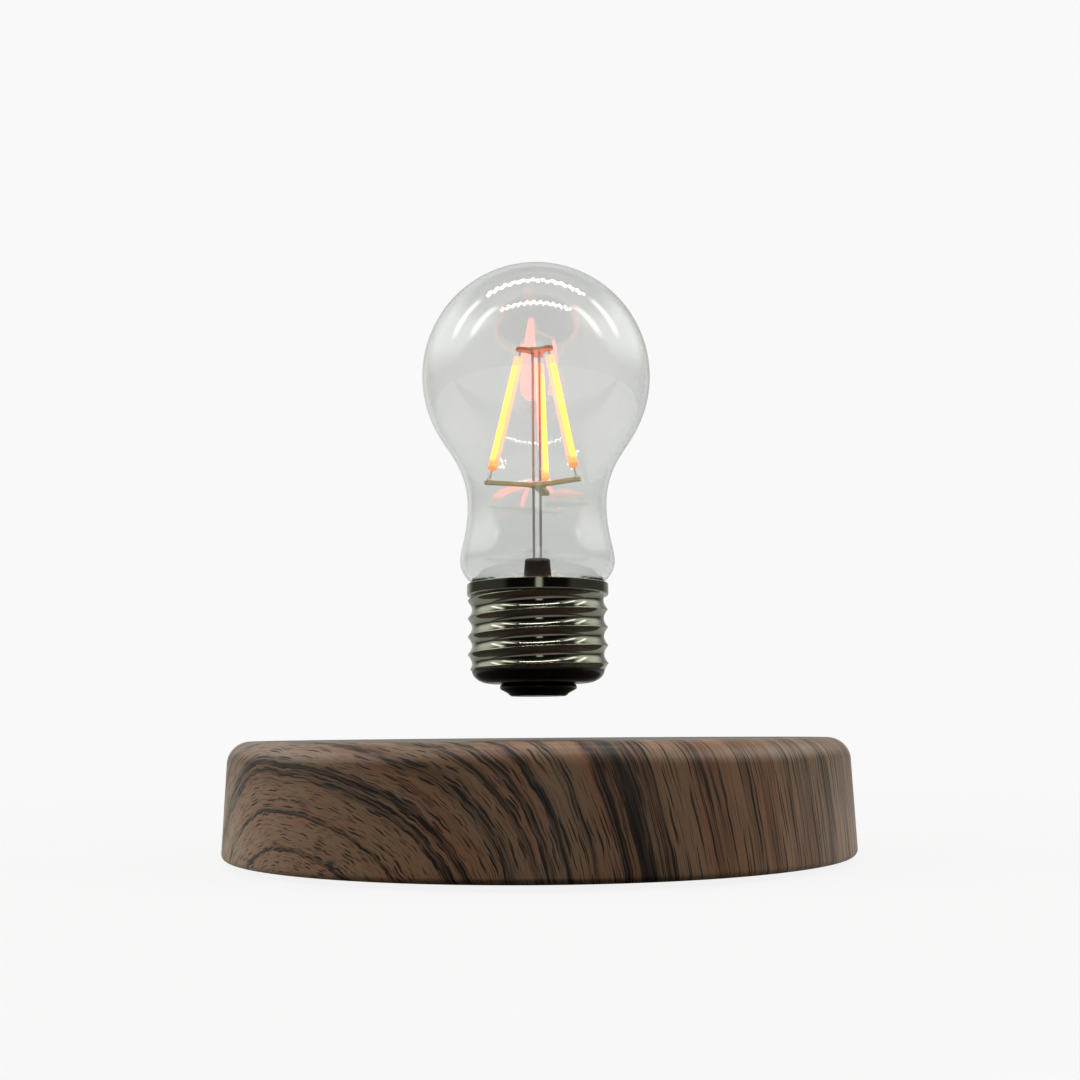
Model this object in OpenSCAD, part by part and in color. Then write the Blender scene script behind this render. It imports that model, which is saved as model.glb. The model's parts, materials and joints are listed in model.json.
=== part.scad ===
// Levitating light bulb lamp: a round base with a wood-grain finish holds the levitation magnet, its
// control coils and a wireless power transmitter, and a filament bulb floats and spins above it.
// Millimetres, +Z up, origin on the table under the middle of the base.

/* [Base] */
// Diameter of the base at its lower edge
base_d = 130; // [126:1:150]
// Height of the base from its lower edge to its top
base_h = 23.2; // [22.4:0.1:35]
// Draft of the base's side, in degrees from upright
base_draft = 2.1; // [0:0.1:6]
// Rounding of the top edge
top_round = 4.5; // [2:0.5:6]
// Rounding of the lower edge
lower_round = 1.2; // [0.4:0.1:1.6]
// Wall of the side
side_wall = 2.5; // [1.8:0.1:3]
// Wall of the top
top_wall = 2.2; // [1.2:0.1:2.8]
// Thickness of the bottom plate
plate_t = 2; // [1.6:0.1:2.8]
// How far the bottom plate sits up inside the lower edge
plate_recess = 0.4; // [0.2:0.1:1]
// Width of a cooling slot in the bottom plate
slot_w = 2; // [1:0.2:3]
// Length of a cooling slot in the bottom plate
slot_l = 14; // [8:1:20]

/* [Feet and screws] */
// Diameter of a rubber foot
foot_d = 12; // [9:0.5:14]
// How far the feet hold the lower edge off the table
foot_stand = 1; // [0.6:0.1:3]
// Depth of the pocket that a foot is glued in
foot_pocket = 0.8; // [0.4:0.1:1.2]
// Shank diameter of a case screw
screw_d = 2.9; // [2.4:0.1:3.4]
// Length of a case screw's shank
screw_l = 9; // [6:0.5:14]
// Head diameter of a case screw
screw_head_d = 5.5; // [4.6:0.1:6.4]
// Head height of a case screw
screw_head_h = 1.9; // [1.4:0.1:2.4]
// Diameter of the bosses that take the case screws
boss_d = 8; // [6:0.5:9]

/* [Levitation drive] */
// Height of the posts under the circuit board
board_stand = 3; // [2.6:0.1:4]
// Thickness of the circuit board
board_t = 1.6; // [1:0.1:2]
// Diameter of an electromagnet's bobbin
coil_d = 19; // [15:0.5:20]
// Height of an electromagnet
coil_h = 11; // [8:0.5:12]
// Distance of the electromagnets from the middle
coil_circle_r = 17.5; // [16:0.5:20]
// Diameter of an electromagnet's iron core
core_d = 5; // [4:0.5:7]
// Outer diameter of the ring magnet
ring_od = 80; // [74:1:82]
// Inner diameter of the ring magnet
ring_id = 62; // [60:1:68]
// Height of the ring magnet
ring_h = 10; // [6:0.5:12]
// Outer diameter of the power transmitter coil
tx_coil_od = 60; // [50:1:64]
// Inner diameter of the power transmitter coil
tx_coil_id = 30; // [20:1:40]
// Thickness of the power transmitter coil
tx_coil_t = 1.6; // [0.8:0.1:2]
// Width of the power socket's body
jack_w = 9; // [8:0.5:11]
// Height of the power socket's body
jack_h = 11; // [9:0.5:12]
// Depth of the power socket's body
jack_l = 13; // [11:0.5:14]
// Bore of the power socket
jack_bore_d = 6.2; // [5.6:0.1:6.6]
// Diameter of the power socket's pin
jack_pin_d = 2; // [1.6:0.1:2.5]
// Free length of the power socket's pin
jack_pin_l = 9; // [7:0.5:9.5]
// Hole in the side that a power plug passes through
plug_hole_d = 9.2; // [8:0.2:11]
// Wire diameter of the touch spring
spring_wire_d = 0.6; // [0.4:0.1:0.8]
// Diameter of the touch spring at the middle of its wire
spring_d = 4.4; // [3.4:0.2:5]
// Working turns of the touch spring
spring_turns = 6; // [4:1:8]

/* [Floating] */
// Gap between the base's top and the bulb's underside
float_gap = 9; // [5:0.5:18]
// Diameter of the bulb's floating magnet
magnet_d = 21; // [16:0.5:21.5]
// Height of the bulb's floating magnet
magnet_h = 8; // [5:0.5:9]

/* [Screw cap] */
// Diameter of the contact button under the cap
button_d = 16.4; // [12:0.2:20]
// Height of the contact button
button_h = 2.7; // [1.5:0.1:4]
// Height of the insulator between button and thread
insulator_h = 2.8; // [2:0.1:4]
// Diameter over the thread's crests
thread_d = 30; // [29:0.1:30.2]
// Depth of the thread
thread_depth = 0.85; // [0.4:0.05:1.1]
// Pitch of the thread
thread_pitch = 3.84; // [3:0.02:5]
// Length of the thread
thread_h = 15.8; // [15:0.2:20]
// Diameter of the collar above the thread
collar_d = 30.4; // [30.2:0.1:32]
// Height of the collar
collar_h = 2.6; // [2.6:0.1:5]
// Rounding of the collar's top edge
collar_round = 0.8; // [0.4:0.1:1.3]
// Wall of the collar
collar_wall = 1.4; // [1.3:0.1:1.6]

/* [Glass] */
// Diameter of the globe
globe_d = 50; // [44:0.5:58]
// Height of the globe's middle above the collar
globe_rise = 45.8; // [43:0.2:52]
// Slope of the shoulder under the globe, in degrees from upright
shoulder_angle = 34; // [30:0.5:39]
// Diameter of the neck
neck_d = 30; // [27:0.2:30.6]
// Height of the neck's waist above the collar
neck_rise = 17.2; // [14.6:0.2:18.6]
// Diameter of the bulge above the collar
bulge_d = 33.4; // [32:0.2:35]
// Rounding of the bulge towards the neck
bulge_round = 8; // [4:0.5:12]
// Rounding of the bulge towards the collar
tuck_round = 6; // [4.2:0.2:6]
// Wall of the glass
glass_wall = 0.9; // [0.6:0.1:1.4]

/* [Filaments] */
// Diameter of the stem's plug at its top
plug_d = 5.4; // [4:0.2:7]
// Height of the stem's plug above its flange
plug_h = 6.4; // [4:0.2:9]
// Thickness of the stem's flange
flange_t = 1.2; // [0.8:0.1:1.6]
// Diameter of a support wire
wire_d = 0.55; // [0.4:0.05:0.8]
// Distance between the two support wires
wire_gap = 1.5; // [1.2:0.1:2.4]
// Height of the lower bracket above the plug
lower_star_rise = 15.8; // [12.4:0.2:18.2]
// Height of the upper bracket above the plug
upper_star_rise = 46; // [41:0.2:49]
// Reach of the lower bracket's arms
lower_star_r = 11.8; // [10.2:0.2:13]
// Reach of the upper bracket's arms
upper_star_r = 4.6; // [4.2:0.2:6.2]
// Thickness of the brackets
star_t = 0.7; // [0.5:0.1:1.2]
// Width of a bracket's arm
star_arm_w = 2; // [1.4:0.1:2.6]
// Direction of the first bracket arm, in degrees from +X
star_turn = 80; // [0:5:360]
// Diameter of an LED filament
filament_d = 2; // [1.4:0.1:2.2]
// Length of an LED filament
filament_l = 24.8; // [22:0.2:25]

/* [Hidden] */

$fn = 96;
// Faces round a threaded section, and slices in one turn of it
thread_sides = 40;
thread_slices = 12;
// Degrees between the points of an arc, and of a small edge on the cap
arc_step = 7.5;
edge_step = 22.5;
// Clearance of a piece that drops into its seat
fit_gap = 0.2;
// Clearance of a piece that turns or lifts past another
run_gap = 0.3;
// A cut that opens a face runs this far past it
past = 1;
// A wire's hole is this much wider than the wire
wire_hole_gap = 0.1;

// The base, from the table up
quarter_turns = [0, 90, 180, 270];
shell_z = foot_stand;
base_top = shell_z + base_h;
ceiling_z = base_top - top_wall;
base_r = base_d / 2;
inner_offset = side_wall / cos(base_draft);
plate_z = shell_z + plate_recess;
plate_top = plate_z + plate_t;
plate_r = inner_r(plate_top) - fit_gap;
foot_margin = 7;
foot_circle_r = plate_r - (foot_d + 2 * fit_gap) / 2 - foot_margin;
foot_edge = 0.4;
pocket_z = plate_z + foot_pocket;
slot_pitch = 2.4 * slot_w;
first_foot_angle = -45;

// Case screws, each under a foot
head_hole_d = screw_head_d + 2 * fit_gap;
head_seat_z = pocket_z + screw_head_h + fit_gap;
screw_collar_t = 1.2;
screw_collar_z = head_seat_z + screw_collar_t;
screw_collar_d = head_hole_d + 2.4;
screw_pilot_gap = 0.1;
screw_hole_depth = screw_l + 1;

// Circuit board and what stands on it
board_z = plate_top + board_stand;
board_top = board_z + board_t;
board_screw_d = 2.2;
board_screw_head_d = 4;
board_screw_head_h = 1.4;
board_screw_gap = 1;
board_screw_l = board_t + board_stand - 0.4;
board_screw_r = ring_od / 2 + board_screw_gap + board_screw_head_d / 2;
board_screw_turn = 22.5;
board_rim = 5;
board_r = board_screw_r + board_screw_head_d / 2 + board_rim;
board_post_d = 5.4;
bobbin_flange_t = 1;
bobbin_tube_wall = 1.2;
tx_coil_z = ceiling_z - tx_coil_t;
tx_rib_w = 1.2;
tx_lead_d = 0.8;
tx_lead_gap = 1;
hall_size = [4.1, 1.6, 3];
hall_block = [9, 9, 7];
hall_places = [[0, -2.6, 0], [-2.6, 1, 90], [2.6, 1, 90]];
transistor_size = [6.5, 6, 2.2];
transistor_r = 30;
transistor_turn = 62;

// Parts in the four corners between the electromagnets, just inside the ring magnet
corner_room = 8;
corner_r = ring_id / 2 - corner_room;
chip_size = [8, 8, 1.4];
capacitor_d = 8;
capacitor_h = 11;
capacitor_rim = 0.5;
inductor_size = [8, 8, 4];
inductor_inset = 1;

// Power socket at the rear
jack_axis_lift = 0.6;
jack_axis_z = board_top + jack_h / 2 + jack_axis_lift;
jack_top = board_top + jack_h;
jack_face_y = sqrt(pow(inner_r(jack_top), 2) - pow(jack_w / 2, 2)) - run_gap;
jack_bore_l = 10;
jack_pin_root_l = 1;
jack_pin_root_d = jack_pin_d + 1;
jack_pin_tip = 0.4;
jack_shelf_h = 3;
jack_shelf_l = 3.5;
tongue_w = jack_w + 5;
tongue_y = jack_face_y - 1.5;

// Touch spring, against the inside of the top
spring_angle = 250;
spring_room = 2;
spring_place_r = ring_od / 2 + spring_room + spring_d / 2;
spring_end = spring_wire_d / 2 + 0.02;
spring_rise = ceiling_z - board_top - 2 * spring_end;
spring_sides = 6;
spring_rings = 10;

// The bulb, from its button up
bulb_z = base_top + float_gap;
button_top = bulb_z + button_h;
thread_z = button_top + insulator_h;
collar_z = thread_z + thread_h;
collar_top = collar_z + collar_h;
root_r = thread_d / 2 - thread_depth;
magnet_room = 1.5;
cap_bore_r = magnet_d / 2 + magnet_room;
collar_low_round = 0.5;
first_crest_angle = 229;
thread_lead_in = 0.25;
insulator_floor = 1.1;
insulator_spigot = 1;
insulator_spigot_wall = 1;
rx_coil_z = button_top + insulator_floor;
rx_coil_t = 1.2;
rx_coil_id = 6;
rx_coil_r = cap_bore_r - fit_gap - insulator_spigot_wall - fit_gap;
magnet_z = rx_coil_z + rx_coil_t + run_gap;
magnet_top = magnet_z + magnet_h;
magnet_edge = 0.5;
rx_board_z = magnet_top + run_gap + fit_gap;
rx_board_t = 1;
rx_board_top = rx_board_z + rx_board_t;
rx_lead_d = 0.5;
rx_lead_r = magnet_d / 2 + magnet_room / 2;
rx_lead_angles = [75, 105];
rx_capacitor_d = 5;
rx_capacitor_h = 4.4;
rectifier_size = [4, 4.8, 1.6];

// Stem, wires, brackets and filaments
flange_seat = 0.5;
flange_z = collar_z + flange_seat;
flange_top = flange_z + flange_t;
collar_bore_r = collar_d / 2 - collar_wall;
plug_top = flange_top + plug_h;
plug_draft = 0.06;
plug_edge = 0.5;
lower_star_z = plug_top + lower_star_rise;
upper_star_z = plug_top + upper_star_rise;
wire_hole_d = wire_d + wire_hole_gap;
star_hub_d = wire_gap + 2.4;
pin_d = 0.45;
pin_inset = 1;
star_angles = [star_turn, star_turn + 120, star_turn + 240];
lower_pin = [lower_star_r - pin_inset, lower_star_z + star_t];
upper_pin = [upper_star_r - pin_inset, upper_star_z];
pin_span = norm(upper_pin - lower_pin);
pin_dir = (upper_pin - lower_pin) / pin_span;
filament_lean = atan2(pin_dir[0], pin_dir[1]);
filament_start = (pin_span - filament_l) / 2;
filament_edge = 0.4;
solder_r = 0.65;
solder_h = 0.6;

// Glass, as arcs that meet smoothly
sleeve_r = collar_bore_r - fit_gap / 2;
globe_r = globe_d / 2;
neck_r = neck_d / 2;
bulge_r = bulge_d / 2;
tuck_r = bulge_r - tuck_round;
tuck_angle = acos((sleeve_r - tuck_r) / tuck_round);
bulge_z = collar_top + fit_gap / 2 + tuck_round * sin(tuck_angle);
neck_z = collar_top + neck_rise;
globe_z = collar_top + globe_rise;
waist_angle = 2 * atan2(bulge_r - neck_r, neck_z - bulge_z);
waist_round = (neck_z - bulge_z) / sin(waist_angle) - bulge_round;
shoulder_r = globe_r * cos(shoulder_angle);
shoulder_z = globe_z - globe_r * sin(shoulder_angle);
neck_round = (neck_r - shoulder_r + tan(shoulder_angle) * (shoulder_z - neck_z))
    / (1 / cos(shoulder_angle) - 1);

// Radius of the base's outer side, and of its inner side, at a height
function side_r(z) = base_r - (z - shell_z) * tan(base_draft);
function inner_r(z) = side_r(z) - inner_offset;

// Points of an arc about a centre, from one angle to another
function arc(centre, r, from, to, step = arc_step) =
    let (steps = max(2, ceil(abs(to - from) / step)))
    [for (i = [0:steps])
        let (a = from + (to - from) * i / steps)
        centre + r * [cos(a), sin(a)]];

// A ring of rectangular section
module ring(od, id, h) {
    difference() {
        cylinder(d = od, h = h);
        translate([0, 0, -past]) cylinder(d = id, h = h + 2 * past);
    }
}

// Children at each case screw
module at_case_screws() {
    for (q = quarter_turns)
        rotate([0, 0, first_foot_angle + q]) translate([foot_circle_r, 0, 0]) children();
}

// Children at each screw of the circuit board
module at_board_screws() {
    for (q = quarter_turns)
        rotate([0, 0, board_screw_turn + q]) translate([board_screw_r, 0, 0]) children();
}

// A pan-head screw, its head's seat at z = 0 and its shank along +Z
module screw(shank_d, shank_l, head_d, head_h) {
    cylinder(d = shank_d, h = shank_l);
    difference() {
        translate([0, 0, -head_h]) cylinder(d1 = head_d * 0.86, d2 = head_d, h = head_h);
        for (turn = [0, 90])
            rotate([0, 0, turn])
                translate([-head_d * 0.3, -head_d * 0.07, -head_h - past])
                    cube([head_d * 0.6, head_d * 0.14, past + head_h * 0.5]);
    }
}

// Outer outline of the base, half of its section: drafted side between two rounded edges
function base_outline() =
    let (
        low = [side_r(shell_z + lower_round) - lower_round / cos(base_draft), shell_z + lower_round],
        high = [side_r(base_top - top_round) - top_round / cos(base_draft), base_top - top_round]
    )
    concat(
        [[0, shell_z]],
        arc(low, lower_round, -90, base_draft),
        arc(high, top_round, base_draft, 90),
        [[0, base_top]]
    );

// Inside of the base, half of its section
function cavity_outline() =
    let (
        round = max(0.6, top_round - side_wall),
        high = [inner_r(ceiling_z - round) - round / cos(base_draft), ceiling_z - round]
    )
    concat(
        [[0, shell_z - past], [inner_r(shell_z - past), shell_z - past]],
        arc(high, round, base_draft, 90),
        [[0, ceiling_z]]
    );

// Wood-grain housing: one moulding with screw bosses and a locating rib for the transmitter coil
module base_shell() {
    color("#6b4f3c") difference() {
        union() {
            difference() {
                rotate_extrude() polygon(base_outline());
                rotate_extrude() polygon(cavity_outline());
            }
            translate([0, 0, screw_collar_z])
                at_case_screws() cylinder(d = boss_d, h = ceiling_z - screw_collar_z + top_wall / 2);
            translate([0, 0, tx_coil_z])
                ring(tx_coil_od + 2 * (fit_gap + tx_rib_w), tx_coil_od + 2 * fit_gap,
                     tx_coil_t + top_wall / 2);
        }
        translate([0, 0, screw_collar_z - past])
            at_case_screws() cylinder(d = screw_d + screw_pilot_gap, h = screw_hole_depth + past);
        translate([0, jack_face_y, jack_axis_z])
            rotate([-90, 0, 0]) cylinder(d = plug_hole_d, h = base_r);
    }
}

// Cooling slots, as cut shapes in one block to the left or the right of the middle
module slot_row(side) {
    for (i = [-2:2])
        translate([side * (coil_circle_r + coil_d / 2), i * slot_pitch, plate_z - past])
            linear_extrude(plate_t + 2 * past) {
                square([slot_l - slot_w, slot_w], center = true);
                for (end = [-1, 1])
                    translate([end * (slot_l - slot_w) / 2, 0]) circle(d = slot_w);
            }
}

// Bottom plate with foot pockets, screw collars, board posts and cooling slots
module bottom_plate() {
    color("#26262a") difference() {
        union() {
            translate([0, 0, plate_z]) cylinder(r = plate_r, h = plate_t);
            translate([0, 0, plate_z])
                at_case_screws() cylinder(d = screw_collar_d, h = screw_collar_z - plate_z);
            translate([0, 0, plate_z])
                at_board_screws() cylinder(d = board_post_d, h = board_z - plate_z);
        }
        translate([0, 0, plate_z - past])
            at_case_screws() {
                cylinder(d = foot_d + 2 * fit_gap, h = past + foot_pocket);
                cylinder(d = head_hole_d, h = past + head_seat_z - plate_z);
                cylinder(d = screw_d + 2 * fit_gap, h = screw_collar_z - plate_z + 2 * past);
            }
        translate([0, 0, plate_top])
            at_board_screws() cylinder(d = board_screw_d + screw_pilot_gap, h = board_stand + past);
        for (side = [-1, 1]) slot_row(side);
    }
}

// Rubber foot in its pocket over a case screw
module foot(index) {
    color("#1d1d1f") rotate([0, 0, first_foot_angle + 90 * index])
        translate([foot_circle_r, 0, 0]) {
            cylinder(d1 = foot_d - 2 * foot_edge, d2 = foot_d, h = foot_edge);
            translate([0, 0, foot_edge]) cylinder(d = foot_d, h = pocket_z - foot_edge);
        }
}

module case_screws() {
    color("silver") translate([0, 0, head_seat_z])
        at_case_screws() screw(screw_d, screw_l, screw_head_d, screw_head_h);
}

// Round circuit board with a tongue under the power socket, cut clear of the case screws' bosses
module main_board() {
    color("#1f5a3a") difference() {
        translate([0, 0, board_z]) union() {
            cylinder(r = board_r, h = board_t);
            translate([-tongue_w / 2, 0, 0]) cube([tongue_w, tongue_y, board_t]);
        }
        translate([0, 0, board_z - past]) {
            at_board_screws() cylinder(d = board_screw_d + 2 * fit_gap, h = board_t + 2 * past);
            at_case_screws() cylinder(d = boss_d + 2 * fit_gap, h = board_t + 2 * past);
        }
    }
}

module board_screws() {
    color("silver") translate([0, 0, board_top])
        at_board_screws()
            rotate([180, 0, 0])
                screw(board_screw_d, board_screw_l, board_screw_head_d, board_screw_head_h);
}

// Where an electromagnet stands: 0 right, 1 rear, 2 left, 3 front
module at_coil(index) {
    rotate([0, 0, 90 * index]) translate([coil_circle_r, 0, board_top]) children();
}

// Flanged bobbin of an electromagnet
module coil_bobbin(index) {
    color("#e8e4d8") at_coil(index) difference() {
        union() {
            cylinder(d = coil_d, h = bobbin_flange_t);
            translate([0, 0, coil_h - bobbin_flange_t]) cylinder(d = coil_d, h = bobbin_flange_t);
            cylinder(d = core_d + 2 * (fit_gap + bobbin_tube_wall), h = coil_h);
        }
        translate([0, 0, -past]) cylinder(d = core_d + 2 * fit_gap, h = coil_h + 2 * past);
    }
}

// Copper winding on a bobbin
module coil_winding(index) {
    color("#b5672f") at_coil(index) translate([0, 0, bobbin_flange_t])
        ring(coil_d - 1, core_d + 2 * (fit_gap + bobbin_tube_wall), coil_h - 2 * bobbin_flange_t);
}

// Iron core of an electromagnet
module coil_core(index) {
    color("#8d9094") at_coil(index) cylinder(d = core_d, h = coil_h);
}

module ring_magnet() {
    color("#3a3a3d") translate([0, 0, board_top]) ring(ring_od, ring_id, ring_h);
}

// Children at each position sensor, standing on the holder's top
module at_halls() {
    for (p = hall_places)
        translate([p[0], p[1], board_top + hall_block[2]]) rotate([0, 0, p[2]]) children();
}

// Block that holds the three position sensors in the middle of the electromagnets
module hall_holder() {
    depth = hall_size[2] / 2;
    color("#2b2b2e") difference() {
        translate([-hall_block[0] / 2, -hall_block[1] / 2, board_top]) cube(hall_block);
        at_halls()
            translate([-hall_size[0] / 2 - fit_gap / 2, -hall_size[1] / 2 - fit_gap / 2, -depth])
                cube([hall_size[0] + fit_gap, hall_size[1] + fit_gap, depth + past]);
    }
}

module hall_sensors() {
    color("#151515") at_halls()
        translate([-hall_size[0] / 2, -hall_size[1] / 2, -hall_size[2] / 2]) cube(hall_size);
}

// Flat coil glued under the top, inside the housing's rib
module transmitter_coil() {
    color("#b5672f") translate([0, 0, tx_coil_z]) ring(tx_coil_od, tx_coil_id, tx_coil_t);
}

// Where a corner part stands: 0 rear right, 1 rear left, 2 front left, 3 front right
module in_corner(index) {
    rotate([0, 0, 45 + 90 * index]) translate([corner_r, 0, board_top]) children();
}

// Leads of the transmitter coil, up from the board beside the control chip
module transmitter_leads() {
    color("#b5672f") for (side = [-1, 1])
        in_corner(1)
            translate([-chip_size[0] / 2 - tx_lead_gap - tx_lead_d / 2, side * 1.5 * tx_lead_d, 0])
                cylinder(d = tx_lead_d, h = tx_coil_z - board_top, $fn = 24);
}

// Power socket: a square block with a low shelf of contacts behind it
module power_socket() {
    color("#1b1b1d") difference() {
        union() {
            translate([-jack_w / 2, jack_face_y - jack_l + jack_shelf_l, board_top])
                cube([jack_w, jack_l - jack_shelf_l, jack_h]);
            translate([-jack_w / 2, jack_face_y - jack_l, board_top])
                cube([jack_w, jack_l, jack_h / 2 + jack_shelf_h]);
        }
        translate([0, jack_face_y - jack_bore_l, jack_axis_z])
            rotate([-90, 0, 0]) cylinder(d = jack_bore_d, h = jack_bore_l + past);
        translate([0, jack_face_y - jack_bore_l - jack_pin_root_l, jack_axis_z])
            rotate([-90, 0, 0]) cylinder(d = jack_pin_root_d, h = jack_pin_root_l + past);
    }
}

// Centre pin of the socket, on a wider root in the socket's back wall
module power_socket_pin() {
    color("silver") translate([0, jack_face_y - jack_bore_l, jack_axis_z])
        rotate([-90, 0, 0]) {
            translate([0, 0, -jack_pin_root_l]) cylinder(d = jack_pin_root_d, h = jack_pin_root_l);
            cylinder(d = jack_pin_d, h = jack_pin_l);
            translate([0, 0, jack_pin_l])
                cylinder(d1 = jack_pin_d, d2 = jack_pin_d - 2 * jack_pin_tip, h = jack_pin_tip);
        }
}

// Coil drivers, soldered under the board
module power_transistors() {
    color("#1a1a1a") for (q = quarter_turns)
        rotate([0, 0, transistor_turn + q])
            translate([transistor_r - transistor_size[0] / 2, -transistor_size[1] / 2,
                       board_z - transistor_size[2]])
                cube(transistor_size);
}

module control_chip() {
    color("#1a1a1a") in_corner(1)
        translate([-chip_size[0] / 2, -chip_size[1] / 2, 0]) cube(chip_size);
}

module filter_capacitors() {
    color("#23262e") for (corner = [0, 2])
        in_corner(corner) {
            cylinder(d = capacitor_d, h = capacitor_h - capacitor_rim);
            translate([0, 0, capacitor_h - capacitor_rim])
                cylinder(d1 = capacitor_d, d2 = capacitor_d - 2 * capacitor_rim, h = capacitor_rim);
        }
}

module power_inductor() {
    color("#303033") in_corner(3) {
        translate([-inductor_size[0] / 2, -inductor_size[1] / 2, 0])
            cube([inductor_size[0], inductor_size[1], inductor_size[2] / 2]);
        translate([0, 0, inductor_size[2] / 2])
            cylinder(d = inductor_size[0] - inductor_inset, h = inductor_size[2] / 2);
    }
}

// A tube of round section swept along points: one ring of points at each, joined by triangles
function unit(v) = v / norm(v);
function tube_points(path, d, sides) =
    [for (i = [0:len(path) - 1])
        let (
            ahead = unit(path[min(i + 1, len(path) - 1)] - path[max(i - 1, 0)]),
            out = unit(cross(abs(ahead[2]) > 0.9 ? [1, 0, 0] : [0, 0, 1], ahead)),
            up = cross(ahead, out)
        )
        for (k = [0:sides - 1])
            let (a = 360 * k / sides)
            path[i] + d / 2 * (cos(a) * out + sin(a) * up)];
function tube_faces(rings, sides) = concat(
    [[for (k = [0:sides - 1]) k]],
    [for (i = [0:rings - 2], k = [0:sides - 1])
        let (a = i * sides + k, b = i * sides + (k + 1) % sides)
        each [[a, b + sides, b], [a, a + sides, b + sides]]],
    [[for (k = [sides - 1:-1:0]) (rings - 1) * sides + k]]
);
// The touch spring's turns climb evenly, with half a turn lying flat at each end
spring_path = [for (i = [0:(spring_turns + 1) * spring_rings])
    let (turn = i / spring_rings, climb = min(spring_turns, max(0, turn - 0.5)) / spring_turns)
    [spring_d / 2 * cos(360 * turn), spring_d / 2 * sin(360 * turn), spring_end + spring_rise * climb]];
spring_gap = min([for (i = [0:len(spring_path) - 1 - spring_rings / 2])
    min([for (j = [i + spring_rings / 2:len(spring_path) - 1]) norm(spring_path[i] - spring_path[j])])])
    - spring_wire_d;
echo(spring_gap = spring_gap);

// Spring between the circuit board and the housing's top, which feels a finger on the outside
module touch_spring() {
    color("silver") rotate([0, 0, spring_angle]) translate([spring_place_r, 0, board_top])
        polyhedron(tube_points(spring_path, spring_wire_d, spring_sides),
                   tube_faces(len(spring_path), spring_sides));
}

// Disc magnet that carries the bulb
module floating_magnet() {
    r = magnet_d / 2;
    color("#9a9ca0") translate([0, 0, magnet_z])
        rotate_extrude() polygon([
            [0, 0], [r - magnet_edge, 0], [r, magnet_edge],
            [r, magnet_h - magnet_edge], [r - magnet_edge, magnet_h], [0, magnet_h]
        ]);
}

// Rounded button under the cap
module contact_button() {
    low_r = button_d / 2 * 0.66;
    color("#111113") translate([0, 0, bulb_z])
        rotate_extrude() polygon(concat(
            [[0, 0]],
            arc([low_r, button_h * 0.45], button_h * 0.45, -90, -30),
            arc([button_d / 2 - button_h * 0.3, button_h * 0.7], button_h * 0.3, -30, 90),
            [[0, button_h]]
        ));
}

// Black dish that closes the cap and holds the receiver coil
module cap_insulator() {
    round = insulator_h * 0.42;
    foot_r = root_r - insulator_h * 0.62;
    color("#111113") translate([0, 0, button_top]) difference() {
        rotate_extrude() polygon(concat(
            [[0, 0]],
            arc([foot_r - round, round], round, -90, -25),
            [[root_r, insulator_h], [cap_bore_r - fit_gap, insulator_h],
             [cap_bore_r - fit_gap, insulator_h + insulator_spigot],
             [0, insulator_h + insulator_spigot]]
        ));
        translate([0, 0, insulator_floor])
            cylinder(r = rx_coil_r + fit_gap, h = insulator_h + insulator_spigot);
        for (a = rx_lead_angles)
            rotate([0, 0, a]) translate([rx_coil_r, -rx_lead_d / 2 - fit_gap, insulator_floor])
                cube([cap_bore_r - rx_coil_r, rx_lead_d + 2 * fit_gap, insulator_h + insulator_spigot]);
    }
}

// One turn of thread as a section: a narrow crest, and a wide round groove
function thread_radius(a) = root_r + thread_depth * (1 - pow(abs(sin(a / 2)), 1.15));

// Plated cap: rounded collar, right-hand thread, and a bore that steps out for the stem's flange
module screw_cap() {
    r = collar_d / 2;
    tail = collar_h / 4;
    turns = (thread_h + tail) / thread_pitch;
    color("#55534b") difference() {
        union() {
            translate([0, 0, thread_z]) rotate([0, 0, first_crest_angle])
                linear_extrude(thread_h + tail, twist = -360 * turns,
                               slices = round(thread_slices * turns), $fn = thread_sides)
                    polygon([for (k = [0:thread_sides - 1])
                        let (a = 360 * k / thread_sides)
                        thread_radius(a) * [cos(a), sin(a)]]);
            translate([0, 0, collar_z]) rotate_extrude() polygon(concat(
                [[0, 0]],
                arc([r - collar_low_round, collar_low_round], collar_low_round, -90, 0, edge_step),
                arc([r - collar_round, collar_h - collar_round], collar_round, 0, 90, edge_step),
                [[0, collar_h]]
            ));
        }
        translate([0, 0, thread_z - past]) cylinder(r = cap_bore_r, h = thread_h + collar_h);
        translate([0, 0, flange_z]) cylinder(r = collar_bore_r, h = collar_h);
        translate([0, 0, thread_z]) rotate_extrude() polygon([
            [root_r + thread_lead_in, -past], [thread_d, -past], [thread_d, thread_pitch / 2],
            [thread_d / 2 + thread_lead_in, thread_pitch / 2], [root_r + thread_lead_in, 0]
        ]);
    }
}

module receiver_coil() {
    color("#b5672f") translate([0, 0, rx_coil_z]) ring(2 * rx_coil_r, rx_coil_id, rx_coil_t);
}

// Leads of the receiver coil: out through the insulator's notches, and up past the magnet
module receiver_leads() {
    z = rx_coil_z + rx_coil_t / 2;
    color("#b5672f") for (a = rx_lead_angles)
        rotate([0, 0, a]) {
            translate([rx_lead_r, 0, z]) cylinder(d = rx_lead_d, h = rx_board_z - z, $fn = 24);
            translate([rx_coil_r, 0, z])
                rotate([0, 90, 0]) cylinder(d = rx_lead_d, h = rx_lead_r - rx_coil_r, $fn = 24);
        }
}

// Round board of the power receiver, glued in the cap's bore
module receiver_board() {
    color("#1f5a3a") translate([0, 0, rx_board_z]) cylinder(r = cap_bore_r - fit_gap, h = rx_board_t);
}

module receiver_capacitor() {
    color("#23262e") translate([-cap_bore_r / 2, 0, rx_board_top])
        cylinder(d = rx_capacitor_d, h = rx_capacitor_h);
}

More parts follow.
